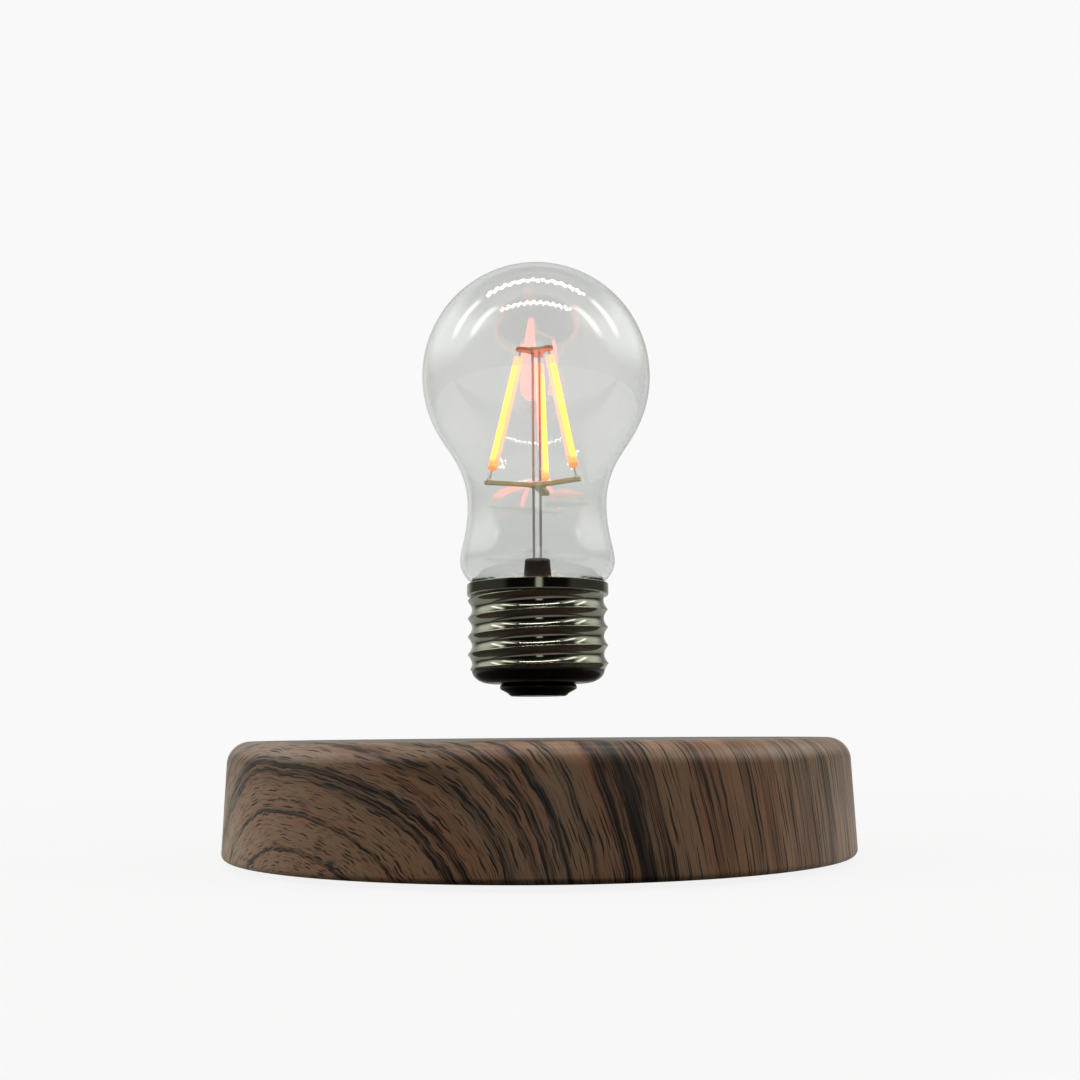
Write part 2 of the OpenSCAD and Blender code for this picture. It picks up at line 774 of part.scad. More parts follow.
module rectifier_chip() {
    color("#1a1a1a") translate([cap_bore_r / 2, 0, rx_board_top])
        translate([-rectifier_size[0] / 2, -rectifier_size[1] / 2, 0]) cube(rectifier_size);
}

// Where a support wire stands: side is -1 for left and 1 for right
module at_wire(side) {
    translate([side * wire_gap / 2, 0, 0]) children();
}

// Flanged stem: the flange closes the cap, and the plug holds both wires
module stem() {
    low_r = plug_d / 2 + plug_draft * plug_h;
    color("#232528") difference() {
        rotate_extrude() polygon(concat(
            [[0, flange_z], [collar_bore_r - fit_gap, flange_z], [collar_bore_r - fit_gap, flange_top],
             [low_r, flange_top]],
            arc([plug_d / 2 - plug_edge, plug_top - plug_edge], plug_edge, 0, 90),
            [[0, plug_top]]
        ));
        for (side = [-1, 1])
            at_wire(side) translate([0, 0, flange_z - past])
                cylinder(d = wire_hole_d, h = flange_t + plug_h + 2 * past, $fn = 24);
    }
}

// Support wire from the receiver board to the upper bracket
module support_wire(side) {
    color("#6f6f70") at_wire(side) translate([0, 0, rx_board_top])
        cylinder(d = wire_d, h = upper_star_z + star_t - rx_board_top, $fn = 24);
}

// Three-armed bracket with holes for both wires
module bracket(reach, z) {
    color("#b9a468") translate([0, 0, z]) difference() {
        linear_extrude(star_t) {
            circle(d = star_hub_d);
            for (a = star_angles) rotate(a) {
                translate([0, -star_arm_w / 2]) square([reach - star_arm_w / 2, star_arm_w]);
                translate([reach - star_arm_w / 2, 0]) circle(d = star_arm_w);
            }
        }
        for (side = [-1, 1])
            at_wire(side) translate([0, 0, -past])
                cylinder(d = wire_hole_d, h = star_t + 2 * past, $fn = 24);
    }
}

// Children along an arm's filament, with +Z from the lower pin's foot to the upper one
module along_filament(index) {
    rotate([0, 0, star_angles[index]])
        translate([lower_pin[0], 0, lower_pin[1]]) rotate([0, filament_lean, 0]) children();
}

// LED filament: a round-ended strip between the two brackets
module filament(index) {
    r = filament_d / 2;
    color("#ffc24a") along_filament(index) translate([0, 0, filament_start])
        rotate_extrude($fn = 32) polygon(concat(
            [[0, 0]],
            arc([r - filament_edge, filament_edge], filament_edge, -90, 0),
            arc([r - filament_edge, filament_l - filament_edge], filament_edge, 0, 90),
            [[0, filament_l]]
        ));
}

// Wire ends of the filaments, down to the lower bracket and up to the upper one
module filament_pins() {
    trim = pin_d * 0.5;
    color("silver") for (index = [0:2])
        along_filament(index) {
            translate([0, 0, trim]) cylinder(d = pin_d, h = filament_start - trim, $fn = 24);
            translate([0, 0, pin_span - filament_start])
                cylinder(d = pin_d, h = filament_start - trim, $fn = 24);
        }
}

// A blunt cone of solder
module solder_cone() {
    cylinder(r1 = solder_r, r2 = solder_r * 0.6, h = solder_h, $fn = 32);
}

// Solder where the wires pass the lower bracket and end on the upper one, and at the filaments' feet
module solder_joints() {
    color("#e6e6e4") {
        for (side = [-1, 1]) at_wire(side) {
            translate([0, 0, lower_star_z + star_t]) difference() {
                solder_cone();
                translate([0, 0, -past]) cylinder(d = wire_hole_d, h = solder_h + 2 * past, $fn = 24);
            }
            translate([0, 0, upper_star_z + star_t]) solder_cone();
        }
        for (index = [0:2]) difference() {
            rotate([0, 0, star_angles[index]])
                translate([lower_pin[0], 0, lower_pin[1]]) solder_cone();
            along_filament(index)
                translate([0, 0, -past])
                    cylinder(d = pin_d + wire_hole_gap, h = past + filament_start, $fn = 24);
        }
    }
}

// Side of the glass from its rim to its top, moved inwards by an inset
function glass_side(inset) =
    let (tuck_end = acos((sleeve_r - inset - tuck_r) / (tuck_round - inset)))
    concat(
        [[sleeve_r - inset, flange_top + fit_gap / 2]],
        arc([tuck_r, bulge_z], tuck_round - inset, -tuck_end, 0),
        arc([bulge_r - bulge_round, bulge_z], bulge_round - inset, 0, waist_angle),
        arc([neck_r + waist_round, neck_z], waist_round + inset, 180 + waist_angle, 180),
        arc([neck_r + neck_round, neck_z], neck_round + inset, 180, 180 - shoulder_angle),
        arc([0, globe_z], globe_r - inset, -shoulder_angle, 90)
    );
function reverse(list) = [for (i = [len(list) - 1:-1:0]) list[i]];

// Clear glass: globe, shoulder, neck and bulge in one blown wall, with its rim in the collar
module glass_bulb() {
    color("#dfe8e4", 0.35)
        rotate_extrude() polygon(concat(glass_side(0), reverse(glass_side(glass_wall))));
}

base_shell();
bottom_plate();
foot(0);  // front_right_foot
foot(1);  // rear_right_foot
foot(2);  // rear_left_foot
foot(3);  // front_left_foot
case_screws();
main_board();
board_screws();
coil_bobbin(0);  // right_coil_bobbin
coil_bobbin(1);  // rear_coil_bobbin
coil_bobbin(2);  // left_coil_bobbin
coil_bobbin(3);  // front_coil_bobbin
coil_winding(0);  // right_coil_winding
coil_winding(1);  // rear_coil_winding
coil_winding(2);  // left_coil_winding
coil_winding(3);  // front_coil_winding
coil_core(0);  // right_coil_core
coil_core(1);  // rear_coil_core
coil_core(2);  // left_coil_core
coil_core(3);  // front_coil_core
ring_magnet();
hall_holder();
hall_sensors();
transmitter_coil();
transmitter_leads();
power_socket();
power_socket_pin();
power_transistors();
control_chip();
filter_capacitors();
power_inductor();
touch_spring();
floating_magnet();
contact_button();
cap_insulator();
screw_cap();
receiver_coil();
receiver_leads();
receiver_board();
receiver_capacitor();
rectifier_chip();
stem();
support_wire(-1);  // left_support_wire
support_wire(1);  // right_support_wire
bracket(lower_star_r, lower_star_z);  // lower_bracket
bracket(upper_star_r, upper_star_z);  // upper_bracket
filament(0);  // rear_filament
filament(1);  // left_filament
filament(2);  // right_filament
filament_pins();
solder_joints();
glass_bulb();
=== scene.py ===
"""Looks of a levitating light bulb lamp: wood-grain base, plated screw cap, clear glass, glowing filaments.
Sizes of shapes are the part's own, in millimetres, and become metres where a mesh is made. Materials and the
camera's place count in metres."""

import json
import math

import bpy
import numpy as np
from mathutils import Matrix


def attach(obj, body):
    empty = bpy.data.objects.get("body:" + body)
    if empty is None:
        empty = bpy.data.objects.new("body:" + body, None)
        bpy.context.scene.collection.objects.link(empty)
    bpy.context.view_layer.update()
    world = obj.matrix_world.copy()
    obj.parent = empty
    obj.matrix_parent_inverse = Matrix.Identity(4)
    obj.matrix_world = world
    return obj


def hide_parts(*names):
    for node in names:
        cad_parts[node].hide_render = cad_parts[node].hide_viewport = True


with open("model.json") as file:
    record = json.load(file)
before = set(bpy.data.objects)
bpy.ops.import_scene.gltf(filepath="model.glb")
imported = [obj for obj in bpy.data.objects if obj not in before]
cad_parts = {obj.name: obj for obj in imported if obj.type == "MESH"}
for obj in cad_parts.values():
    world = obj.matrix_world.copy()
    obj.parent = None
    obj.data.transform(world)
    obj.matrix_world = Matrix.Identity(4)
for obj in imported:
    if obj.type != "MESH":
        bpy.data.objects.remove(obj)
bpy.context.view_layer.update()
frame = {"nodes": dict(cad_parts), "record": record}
nodes = frame["nodes"]
MM = 0.001
SHARP_ANGLE = 35.0

# Base
BASE_R = 65.0
SHELL_Z = 1.0
BASE_TOP = 24.2
CEILING_Z = 22.0
DRAFT = 2.1
TOP_ROUND = 4.5
LOWER_ROUND = 1.2
SIDE_WALL = 2.5
SHELL_SIDES = 512
SHELL_ROWS = {"top": 41, "side": 24, "inside": 5}
PLUG_HOLE = {"radius": 4.6, "z": 14.1, "from_y": 58.0, "to_y": 70.0, "sides": 96}
BOSS = {"radius": 4.0, "z": 5.5, "circle": 49.01, "angles": (45.0, 135.0, 225.0, 315.0), "sides": 32}
BORE = {"radius": 1.5, "top": 15.5, "tip": 0.75, "tip_z": 15.6}
COIL_RIB = {"outer": 31.4, "inner": 30.2, "z": 20.4, "sides": 128}

# Heart of the printed grain on the base's unrolled side: its angle left of the front and its height
FILM_R = 63.5
HEART_ANGLE = -47.5 / FILM_R
HEART_Z = -10.6
# Square of the rings' stretch at the heart, and its falls to the sides: amount, start and length of each
RING_STRETCH = 1.5
RIGHT_FALL = (0.8, 15.0, 45.0)
LEFT_NEAR_FALL = (0.2, 0.0, 15.0)
LEFT_FAR_FALL = (0.6, 40.0, 100.0)
# Radius on the top from which the rings ease into straight lines, and the length over which they do
LINES_FROM = 60.0
LINES_OVER = 34.0
# Growth rings from the heart outwards: ring radius, and tone of the wood there
NEAR_TONES = [
    (14.0, 1.00), (19.0, 1.05), (19.4, 0.58), (19.9, 0.76), (21.0, 1.00), (23.5, 1.10),
    (26.8, 1.06), (27.2, 0.52), (27.6, 0.74), (28.6, 0.98), (32.0, 1.08), (34.6, 0.86),
    (35.4, 0.60), (36.6, 0.80), (37.6, 0.58), (39.2, 0.98), (42.5, 1.02), (44.6, 0.66),
    (45.4, 0.80), (47.0, 1.10), (49.0, 0.66), (50.0, 0.90), (51.2, 0.72), (52.4, 1.00),
    (53.8, 0.62), (55.5, 1.15), (57.6, 0.80), (59.5, 1.04), (61.5, 1.00),
]
FAR_TONES = [
    (61.5, 1.00), (63.0, 0.55), (64.2, 0.80), (65.6, 0.42), (67.2, 0.48), (68.6, 0.85),
    (71.0, 0.70), (72.5, 1.08), (78.0, 1.08), (79.8, 0.70), (81.5, 1.00), (86.0, 1.08),
    (88.5, 0.74), (90.5, 1.08), (93.0, 0.74), (95.5, 1.12), (98.0, 0.75), (99.5, 1.00),
    (102.0, 0.70), (106.0, 1.00), (109.5, 0.70), (113.0, 0.90),
]
TONE_SPAN = 1.25

# Screw cap
THREAD_Z = 38.7
THREAD_R = 15.0
THREAD_DEPTH = 0.85
THREAD_ROOT = THREAD_R - THREAD_DEPTH
THREAD_PITCH = 3.84
THREAD_ROWS = 395
THREAD_OVERRUN = 0.6
FIRST_CREST = math.radians(229.0)
CREST_SOFTNESS = 0.14
GROOVE_POWER = 0.85
LEAD_IN = {"step": 0.25, "slope": 0.49}
COLLAR_Z = 54.5
COLLAR_TOP = 57.1
COLLAR_R = 15.2
COLLAR_LOW_ROUND = 0.5
COLLAR_HIGH_ROUND = 0.15
COLLAR_BORE = 13.8
FLANGE_Z = 55.0
CAP_BORE = 12.0
CAP_SIDES = 224
CAP_SHARP_ANGLE = 65.0

# Insulator, with gaps counted inwards from the cap's bore
DISH = {"bowl": 4.2, "spigot": 1.0, "spigot_gap": 0.2, "floor": 1.1, "inside_gap": 1.2, "sides": 192}

# Contact button: its roundings are shares of its height, and its foot a share of its radius
BULB_Z = 33.2
BUTTON_TOP = 35.9
BUTTON_R = 8.2
BUTTON = {"flange_round": 0.3, "foot_round": 0.45, "foot_r": 0.66, "turn": -30, "sides": 160}

# Glass
RIM_Z = 56.3
SLEEVE_R = 13.7
GLASS_WALL = 0.9
TUCK_GAP = 0.1
TUCK_ROUND = 6.0
BULGE_R = 16.7
BULGE_ROUND = 8.0
NECK_R = 15.0
NECK_Z = 74.3
GLOBE_R = 25.0
GLOBE_Z = 102.9
SHOULDER = 34.0
GLASS_SIDES = 256
BLOWN_STEP = 0.6
BLOWN_SPREAD = 1.6
BLOWN_REACH = 8
BLOWN_FROM = 6.0
BLOWN_EASE = 4.0
# Above the 1.5 of real glass, to bring out reflections
GLASS_INDEX = 1.75

# Filaments: angles of their feet and of their lit sides about the axis, and radius and height of their pins
STAR_ANGLES = {"rear": 80.0, "left": 200.0, "right": 320.0}
LIT_ANGLES = {"rear": 330.0, "left": 215.0, "right": 320.0}
LOWER_PIN = (10.8, 79.1)
UPPER_PIN = (3.6, 108.6)
FILAMENT_R = 1.0
FILAMENT_L = 26.2
FILAMENT_START = 2.6
FILAMENT_EDGE = 0.4
FILAMENT_SIDES = 48
FILAMENT_ROWS = 40

# Light of the tent, as shares of white
BACKGROUND = 0.947
WALL_LIGHT = 0.12
OPENING_LIGHT = 0.012
BACK_LIGHT = 0.52
UPPER_SIDE_LIGHT = 1.60
OVERHEAD_LIGHT = 0.06
SEAM_LIGHT = 3.8
GAP_LIGHT = 1.1
TENT_GREEN = 1.02
TENT_BLUE = 0.94
STRIP = {"z": 550.0, "count": 24, "size": (16.0, 25.0), "zigzag": 9.0, "strength": 22.0}
STRIP_COLOUR = (1.0, 0.98, 0.95, 1.0)

# Floor
FLOOR = {"first_r": 20.0, "last_r": 3000.0, "rings": 24, "sides": 96}
FLOOR_PALE = 0.80
FLOOR_DARKENING = 0.74
FLOOR_MIRRORED = 0.45
FLOOR_SHOWN = 0.90
FLOOR_LIFT = 0.018

# Camera: angles in degrees, lens and sensor in millimetres
CAMERA = {"place": (0.00058, -0.2885, 0.0257), "pitch": 8.105, "roll": -0.45, "lens": 44.9, "sensor": 36.0}

# Limits between which a noise goes from one colour to the other
PATCHES = (0.3, 0.7)


def linear(red, green, blue):
    """A colour as seen on a screen, 0 to 255, turned into linear light with full alpha."""
    share = np.array([red, green, blue]) / 255.0
    light = np.where(share <= 0.04045, share / 12.92, ((share + 0.055) / 1.055) ** 2.4)
    return (*(float(v) for v in light), 1.0)


class Wire:
    """An output of a shader tree. Arithmetic on wires adds Math nodes, and add() makes any other node."""

    def __init__(self, tree, node=None, output=0):
        self.tree = tree
        self.node = node
        self.socket = node.outputs[output] if node and node.outputs else None

    def add(self, kind, settings=None, values=None, output=0):
        """A new node of a kind: its settings are set first, then the values or links of its inputs."""
        made = self.tree.nodes.new("ShaderNode" + kind)
        for name, value in (settings or {}).items():
            if name == "stops":
                self.set_stops(made.color_ramp.elements, value)
            else:
                setattr(made, name, value)
        for name, value in (values or {}).items():
            if isinstance(value, Wire):
                self.tree.links.new(value.socket, made.inputs[name])
            else:
                made.inputs[name].default_value = value
        return Wire(self.tree, made, output)

    @staticmethod
    def set_stops(elements, stops):
        """Gives a colour ramp its stops, each a place and a colour."""
        while len(elements) < len(stops):
            elements.new(1.0)
        for element, (place, colour) in zip(elements, stops):
            element.position = place
            element.color = colour

    def out(self, output):
        """Another output of the same node."""
        return Wire(self.tree, self.node, output)

    def maths(self, operation, *terms):
        """A Math node on wires and numbers."""
        return self.add("Math", {"operation": operation}, dict(enumerate(terms)))

    def __add__(self, other):
        return self.maths("ADD", self, other)

    def __radd__(self, other):
        return self.maths("ADD", other, self)

    def __sub__(self, other):
        return self.maths("SUBTRACT", self, other)

    def __rsub__(self, other):
        return self.maths("SUBTRACT", other, self)

    def __mul__(self, other):
        return self.maths("MULTIPLY", self, other)

    def __rmul__(self, other):
        return self.maths("MULTIPLY", other, self)

    def __truediv__(self, other):
        return self.maths("DIVIDE", self, other)

    def __pow__(self, other):
        return self.maths("POWER", self, other)


def rise(value, low, high):
    """0 below low, 1 above high, and a smooth step between them."""
    limits = {"Value": value, "From Min": low, "From Max": high}
    return value.add("MapRange", {"interpolation_type": "SMOOTHSTEP"}, limits)


def fade(value, low, high):
    """1 below low, 0 above high, and a smooth step between them."""
    return 1.0 - rise(value, low, high)


def abs_of(value):
    """A value without its sign."""
    return value.maths("ABSOLUTE", value)


def close_to(value, centre, inner, outer):
    """1 within an inner distance of a centre, 0 beyond an outer one, and a smooth step between them."""
    return fade(abs_of(value - centre), inner, outer)


def from_axis(x, y):
    """Distance from the upright axis."""
    return (x * x + y * y) ** 0.5


def noise(at, scale, detail=2.0, roughness=0.5):
    """Smooth noise from 0 to 1 at a place."""
    values = {"Vector": at, "Scale": scale, "Detail": detail, "Roughness": roughness}
    return at.add("TexNoise", None, values)


def place(x, y, z=0.0):
    """A vector of up to three wires or numbers, of which the first is a wire."""
    return x.add("CombineXYZ", None, {"X": x, "Y": y, "Z": z})


def parts_of(vector):
    """The X, Y and Z of a vector wire."""
    split = vector.add("SeparateXYZ", None, {"Vector": vector})
    return split.out("X"), split.out("Y"), split.out("Z")


def blend(share, first, second, kind="MIX"):
    """First colour at share 0, second at share 1."""
    return share.add("Mix", {"data_type": "RGBA", "blend_type": kind}, {0: share, 6: first, 7: second}, 2)


def mottled(share, first, second):
    """Two colours in soft patches that follow a noise."""
    return blend(rise(share, *PATCHES), first, second)


def scaled(colour, factor):
    """A colour made darker or paler by a factor, up to full white."""
    return tuple(min(1.0, part * factor) for part in colour[:3]) + (1.0,)


def bump(height, depth):
    """A normal for a height from 0 to 1 that stands for a depth in metres."""
    return height.add("Bump", None, {"Height": height, "Distance": depth, "Strength": 1.0})


def ray_kinds(start):
    """The node that tells rays apart, and 1 for rays from the camera, straight or through glass."""
    path = start.add("LightPath")
    return path, path.maths("MAXIMUM", path.out("Is Camera Ray"), path.out("Is Transmission Ray"))


class Finish:
    """A material that starts with no nodes. Most end in shade(), and lights and the floor in other shaders."""

    def __init__(self, name):
        self.material = bpy.data.materials.new(name)
        self.material.use_nodes = True
        self.tree = self.material.node_tree
        self.tree.nodes.clear()
        self.start = Wire(self.tree)

    def where(self):
        """The place on the piece, in metres."""
        return self.start.add("TexCoord").out("Object")

    def shade(self, **values):
        """Ends the material in a Principled shader, whose inputs are named with _ for a space."""
        inputs = {name.replace("_", " "): value for name, value in values.items()}
        shader = self.start.add("BsdfPrincipled", None, inputs)
        self.start.add("OutputMaterial", None, {"Surface": shader})
        return self.material


def arc(centre, radius, start, end, step=3.0):
    """Points of a circular arc about a centre, from one angle to another in degrees."""
    count = max(3, int(math.ceil(abs(end - start) / step)) + 1)
    angle = np.radians(np.linspace(start, end, count))
    return np.column_stack([centre[0] + radius * np.cos(angle), centre[1] + radius * np.sin(angle)])


def line(start, end, count):
    """Points of a straight line, both ends included."""
    return np.linspace(np.array(start, float), np.array(end, float), count)


def grid_faces(rows, columns, loop):
    """Quads of a grid that closes round its columns, and round its rows too where it is a loop."""
    row = np.arange(rows if loop else rows - 1)[:, None]
    column = np.arange(columns)[None, :]
    below = (row + 1) % rows
    right = (column + 1) % columns
    corners = [
        row * columns + column, below * columns + column,
        below * columns + right, row * columns + right,
    ]
    return np.stack(corners, -1).reshape(-1, 4)


def turned(profile, sides, start=0.0, centre=(0.0, 0.0)):
    """A closed half section turned about an upright axis: (r, z) goes to (r sin a, -r cos a, z), with the
    angle a counted from the front. Where both ends lie on the axis, each becomes one point; otherwise the
    section is a loop. Gives points, quads and triangles."""
    angle = start + np.linspace(0.0, 2 * math.pi, sides, endpoint=False)
    poles = profile[0, 0] == 0.0
    ring = profile[1:-1] if poles else profile
    x = ring[:, :1] * np.sin(angle) + centre[0]
    y = -ring[:, :1] * np.cos(angle) + centre[1]
    z = np.broadcast_to(ring[:, 1:], x.shape)
    points = np.stack([x, y, z], -1).reshape(-1, 3)
    quads = grid_faces(len(ring), sides, not poles)
    triangles = np.zeros((0, 3), int)
    if poles:
        first = len(points)
        column = np.arange(sides)
        right = (column + 1) % sides
        low = (len(ring) - 1) * sides
        ends = [[centre[0], centre[1], profile[0, 1]], [centre[0], centre[1], profile[-1, 1]]]
        points = np.vstack([points, ends])
        top = np.stack([np.full(sides, first), column, right], -1)
        bottom = np.stack([low + column, np.full(sides, first + 1), low + right], -1)
        triangles = np.vstack([top, bottom])
    return points, quads, triangles


def joined(surfaces):
    """Several surfaces as one set of points, quads and triangles."""
    offsets = np.cumsum([0] + [len(s[0]) for s in surfaces[:-1]])
    points = np.vstack([s[0] for s in surfaces])
    quads = np.vstack([s[1] + o for s, o in zip(surfaces, offsets)])
    triangles = np.vstack([s[2] + o for s, o in zip(surfaces, offsets)])
    return points, quads, triangles


def mesh_of(name, surface):
    """A mesh, in metres, of points, quads and triangles in millimetres."""
    points, quads, triangles = surface
    mesh = bpy.data.meshes.new(name)
    mesh.from_pydata((points * MM).tolist(), [], quads.tolist() + triangles.tolist())
    return mesh


def put(name, mesh):
    """A new object of a mesh, at the origin."""
    made = bpy.data.objects.new(name, mesh)
    bpy.context.scene.collection.objects.link(made)
    return made


def smooth(mesh, sharp_angle=SHARP_ANGLE):
    """Smooth shading, apart from edges sharper than an angle in degrees."""
    mesh.shade_smooth()
    mesh.set_sharp_from_angle(angle=math.radians(sharp_angle))


def dress(piece, body, slot, material, *stands_for, sharp_angle=SHARP_ANGLE):
    """Finishes a new piece: its material, the body it moves with, and the CAD nodes it stands for."""
    piece.data.materials.append(material)
    smooth(piece.data, sharp_angle)
    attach(piece, body)
    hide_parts(*stands_for)


def side_r(z):
    """Radius of the base's drafted side at a height."""
    return BASE_R - (z - SHELL_Z) * math.tan(math.radians(DRAFT))


def shell_profile():
    """Half section of the base's housing: from the middle of its top, over the rounded edge, down the
    drafted side, round the lower edge, and back up inside to the ceiling. The second value counts the
    points outside."""
    lean = math.cos(math.radians(DRAFT))
    high = (side_r(BASE_TOP - TOP_ROUND) - TOP_ROUND / lean, BASE_TOP - TOP_ROUND)
    low = (side_r(SHELL_Z + LOWER_ROUND) - LOWER_ROUND / lean, SHELL_Z + LOWER_ROUND)
    inside = TOP_ROUND - SIDE_WALL
    inner = side_r(CEILING_Z - inside) - SIDE_WALL / lean
    edge = arc(high, TOP_ROUND, 90, DRAFT)
    corner = arc(low, LOWER_ROUND, DRAFT, -90, 10)
    outer = np.vstack([
        line((0, BASE_TOP), edge[0], SHELL_ROWS["top"])[:-1], edge,
        line(edge[-1], corner[0], SHELL_ROWS["side"])[1:-1], corner,
    ])
    foot = (side_r(SHELL_Z) - SIDE_WALL / lean, SHELL_Z)
    hollow = np.vstack([
        line(foot, (inner, CEILING_Z - inside), SHELL_ROWS["inside"])[:-1],
        arc((inner - inside / lean, CEILING_Z - inside), inside, DRAFT, 90, 10),
        [(0, CEILING_Z)],
    ])
    return np.vstack([outer, hollow]), len(outer)


def ease(value):
    """A smooth step from 0 to 1 for values from 0 to 1."""
    share = np.clip(value, 0.0, 1.0)
    return share * share * (3.0 - 2.0 * share)


def fall(distance, amount, start, length):
    """A smooth step from 0 up to an amount, from a start and over a length."""
    return amount * ease((distance - start) / length)


def grain_place(profile, around):
    """Where the base's surface lies in its printed grain: radius of the growth ring, and angle about the
    heart. On the unrolled side, rings are ellipses round the heart, tall near it and flatter away from
    it. On the top they ease, towards the middle, into straight lines square to the line from the heart
    through the axis."""
    steps = np.linalg.norm(np.diff(profile, axis=0), axis=1)
    from_top = np.concatenate([[0.0], np.cumsum(steps)])
    shoulder = int(np.argmin(np.abs(profile[:, 1] - BASE_TOP + TOP_ROUND)))
    height = (from_top[shoulder] - from_top)[:, None] + profile[shoulder, 1] - HEART_Z
    across = FILM_R * around[None, :]
    left_fall = fall(-across, *LEFT_NEAR_FALL) + fall(-across, *LEFT_FAR_FALL)
    up = np.sqrt(RING_STRETCH - fall(across, *RIGHT_FALL) - left_fall) * height
    ring_side = np.hypot(across, up)
    angle_side = np.arctan2(up, across)
    r = profile[:, :1]
    edge_up = math.sqrt(RING_STRETCH) * (BASE_TOP - HEART_Z)
    far = math.hypot(math.pi * FILM_R, edge_up)
    ring_top = (edge_up + far) / 2 - (far - edge_up) / 2 * r / FILM_R * np.cos(around)[None, :]
    near_angle = math.atan2(edge_up, math.pi / 2 * FILM_R)
    angle_top = math.pi / 2 - (math.pi / 2 - near_angle) * r / FILM_R * np.sin(around)[None, :]
    share = ease((LINES_FROM - r) / LINES_OVER)
    ring = ring_side + (ring_top - ring_side) * share
    angle = angle_side + (angle_top - angle_side) * share
    return ring, angle


def wood_shell(material, inside):
    """Housing of the base: its section turned about the axis, with screw bosses and the coil's rib
    inside, and the hole for a power plug cut through the rear. Its UV map holds the place in the printed
    grain."""
    profile, outside = shell_profile()
    shell = turned(profile, SHELL_SIDES, HEART_ANGLE + math.pi)
    boss = np.array([
        (BORE["radius"], BOSS["z"]), (BORE["radius"], BORE["top"]), (BORE["tip"], BORE["tip_z"]),
        (BORE["tip"], CEILING_Z), (BOSS["radius"], CEILING_Z), (BOSS["radius"], BOSS["z"]),
    ])
    rib = np.array([
        (COIL_RIB["inner"], COIL_RIB["z"]), (COIL_RIB["inner"], CEILING_Z),
        (COIL_RIB["outer"], CEILING_Z), (COIL_RIB["outer"], COIL_RIB["z"]),
    ])
    turns = np.radians(BOSS["angles"])
    centres = BOSS["circle"] * np.column_stack([np.cos(turns), np.sin(turns)])
    bosses = [turned(boss, BOSS["sides"], 0.0, centre) for centre in centres]
    surface = joined([shell, *bosses, turned(rib, COIL_RIB["sides"])])
    quads = surface[1]
    mesh = mesh_of("wood_shell", surface)

    # The shell's quads come first, and the triangles round the middle of its top first after all quads
    around = np.linspace(-math.pi, math.pi, SHELL_SIDES + 1)
    grain = np.stack(grain_place(profile, around), -1)
    wall = grain[1:-1]
    wall_uv = np.stack([wall[:-1, :-1], wall[1:, :-1], wall[1:, 1:], wall[:-1, 1:]], 2).reshape(-1, 2)
    middle = np.broadcast_to(grain[0, :1], (SHELL_SIDES, 2))
    middle_uv = np.stack([middle, wall[0, :-1], wall[0, 1:]], 1).reshape(-1, 2)
    first_triangle = quads.size
    uv = np.zeros((len(mesh.loops), 2), np.float32)
    uv[:len(wall_uv)] = wall_uv
    uv[first_triangle:first_triangle + len(middle_uv)] = middle_uv
    mesh.uv_layers.new(name="grain").data.foreach_set("uv", uv.ravel())

    is_inside = np.ones(len(mesh.polygons), np.int32)
    is_inside[:(outside - 1) * SHELL_SIDES] = 0
    is_inside[len(quads):len(quads) + SHELL_SIDES] = 0
    mesh.materials.append(material)
    mesh.materials.append(inside)
    mesh.polygons.foreach_set("material_index", is_inside)
    piece = put("wood_shell", mesh)
    cut_plug_hole(piece)
    smooth(piece.data)
    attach(piece, "base")
    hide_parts("base_shell")


def cut_plug_hole(piece):
    """Cuts the plug's round hole through the rear wall with a cylinder: one ring of points at two depths,
    and a cap on each."""
    sides = PLUG_HOLE["sides"]
    angle = np.linspace(0.0, 2 * math.pi, sides, endpoint=False)
    x = PLUG_HOLE["radius"] * np.cos(angle)
    z = PLUG_HOLE["radius"] * np.sin(angle) + PLUG_HOLE["z"]
    front = np.column_stack([x, np.full(sides, PLUG_HOLE["from_y"]), z])
    rear = np.column_stack([x, np.full(sides, PLUG_HOLE["to_y"]), z])
    mesh = bpy.data.meshes.new("plug_cut")
    walls = grid_faces(2, sides, False).tolist()
    caps = [list(range(sides)), list(range(2 * sides - 1, sides - 1, -1))]
    mesh.from_pydata((np.vstack([front, rear]) * MM).tolist(), [], walls + caps)
    cutter = put("plug_cut", mesh)
    cut = piece.modifiers.new("plug_hole", "BOOLEAN")
    cut.operation = "DIFFERENCE"
    cut.solver = "EXACT"
    cut.object = cutter
    bpy.context.view_layer.update()
    shape = piece.evaluated_get(bpy.context.evaluated_depsgraph_get())
    done = bpy.data.meshes.new_from_object(shape)
    piece.modifiers.clear()
    piece.data = done
    bpy.data.objects.remove(cutter)


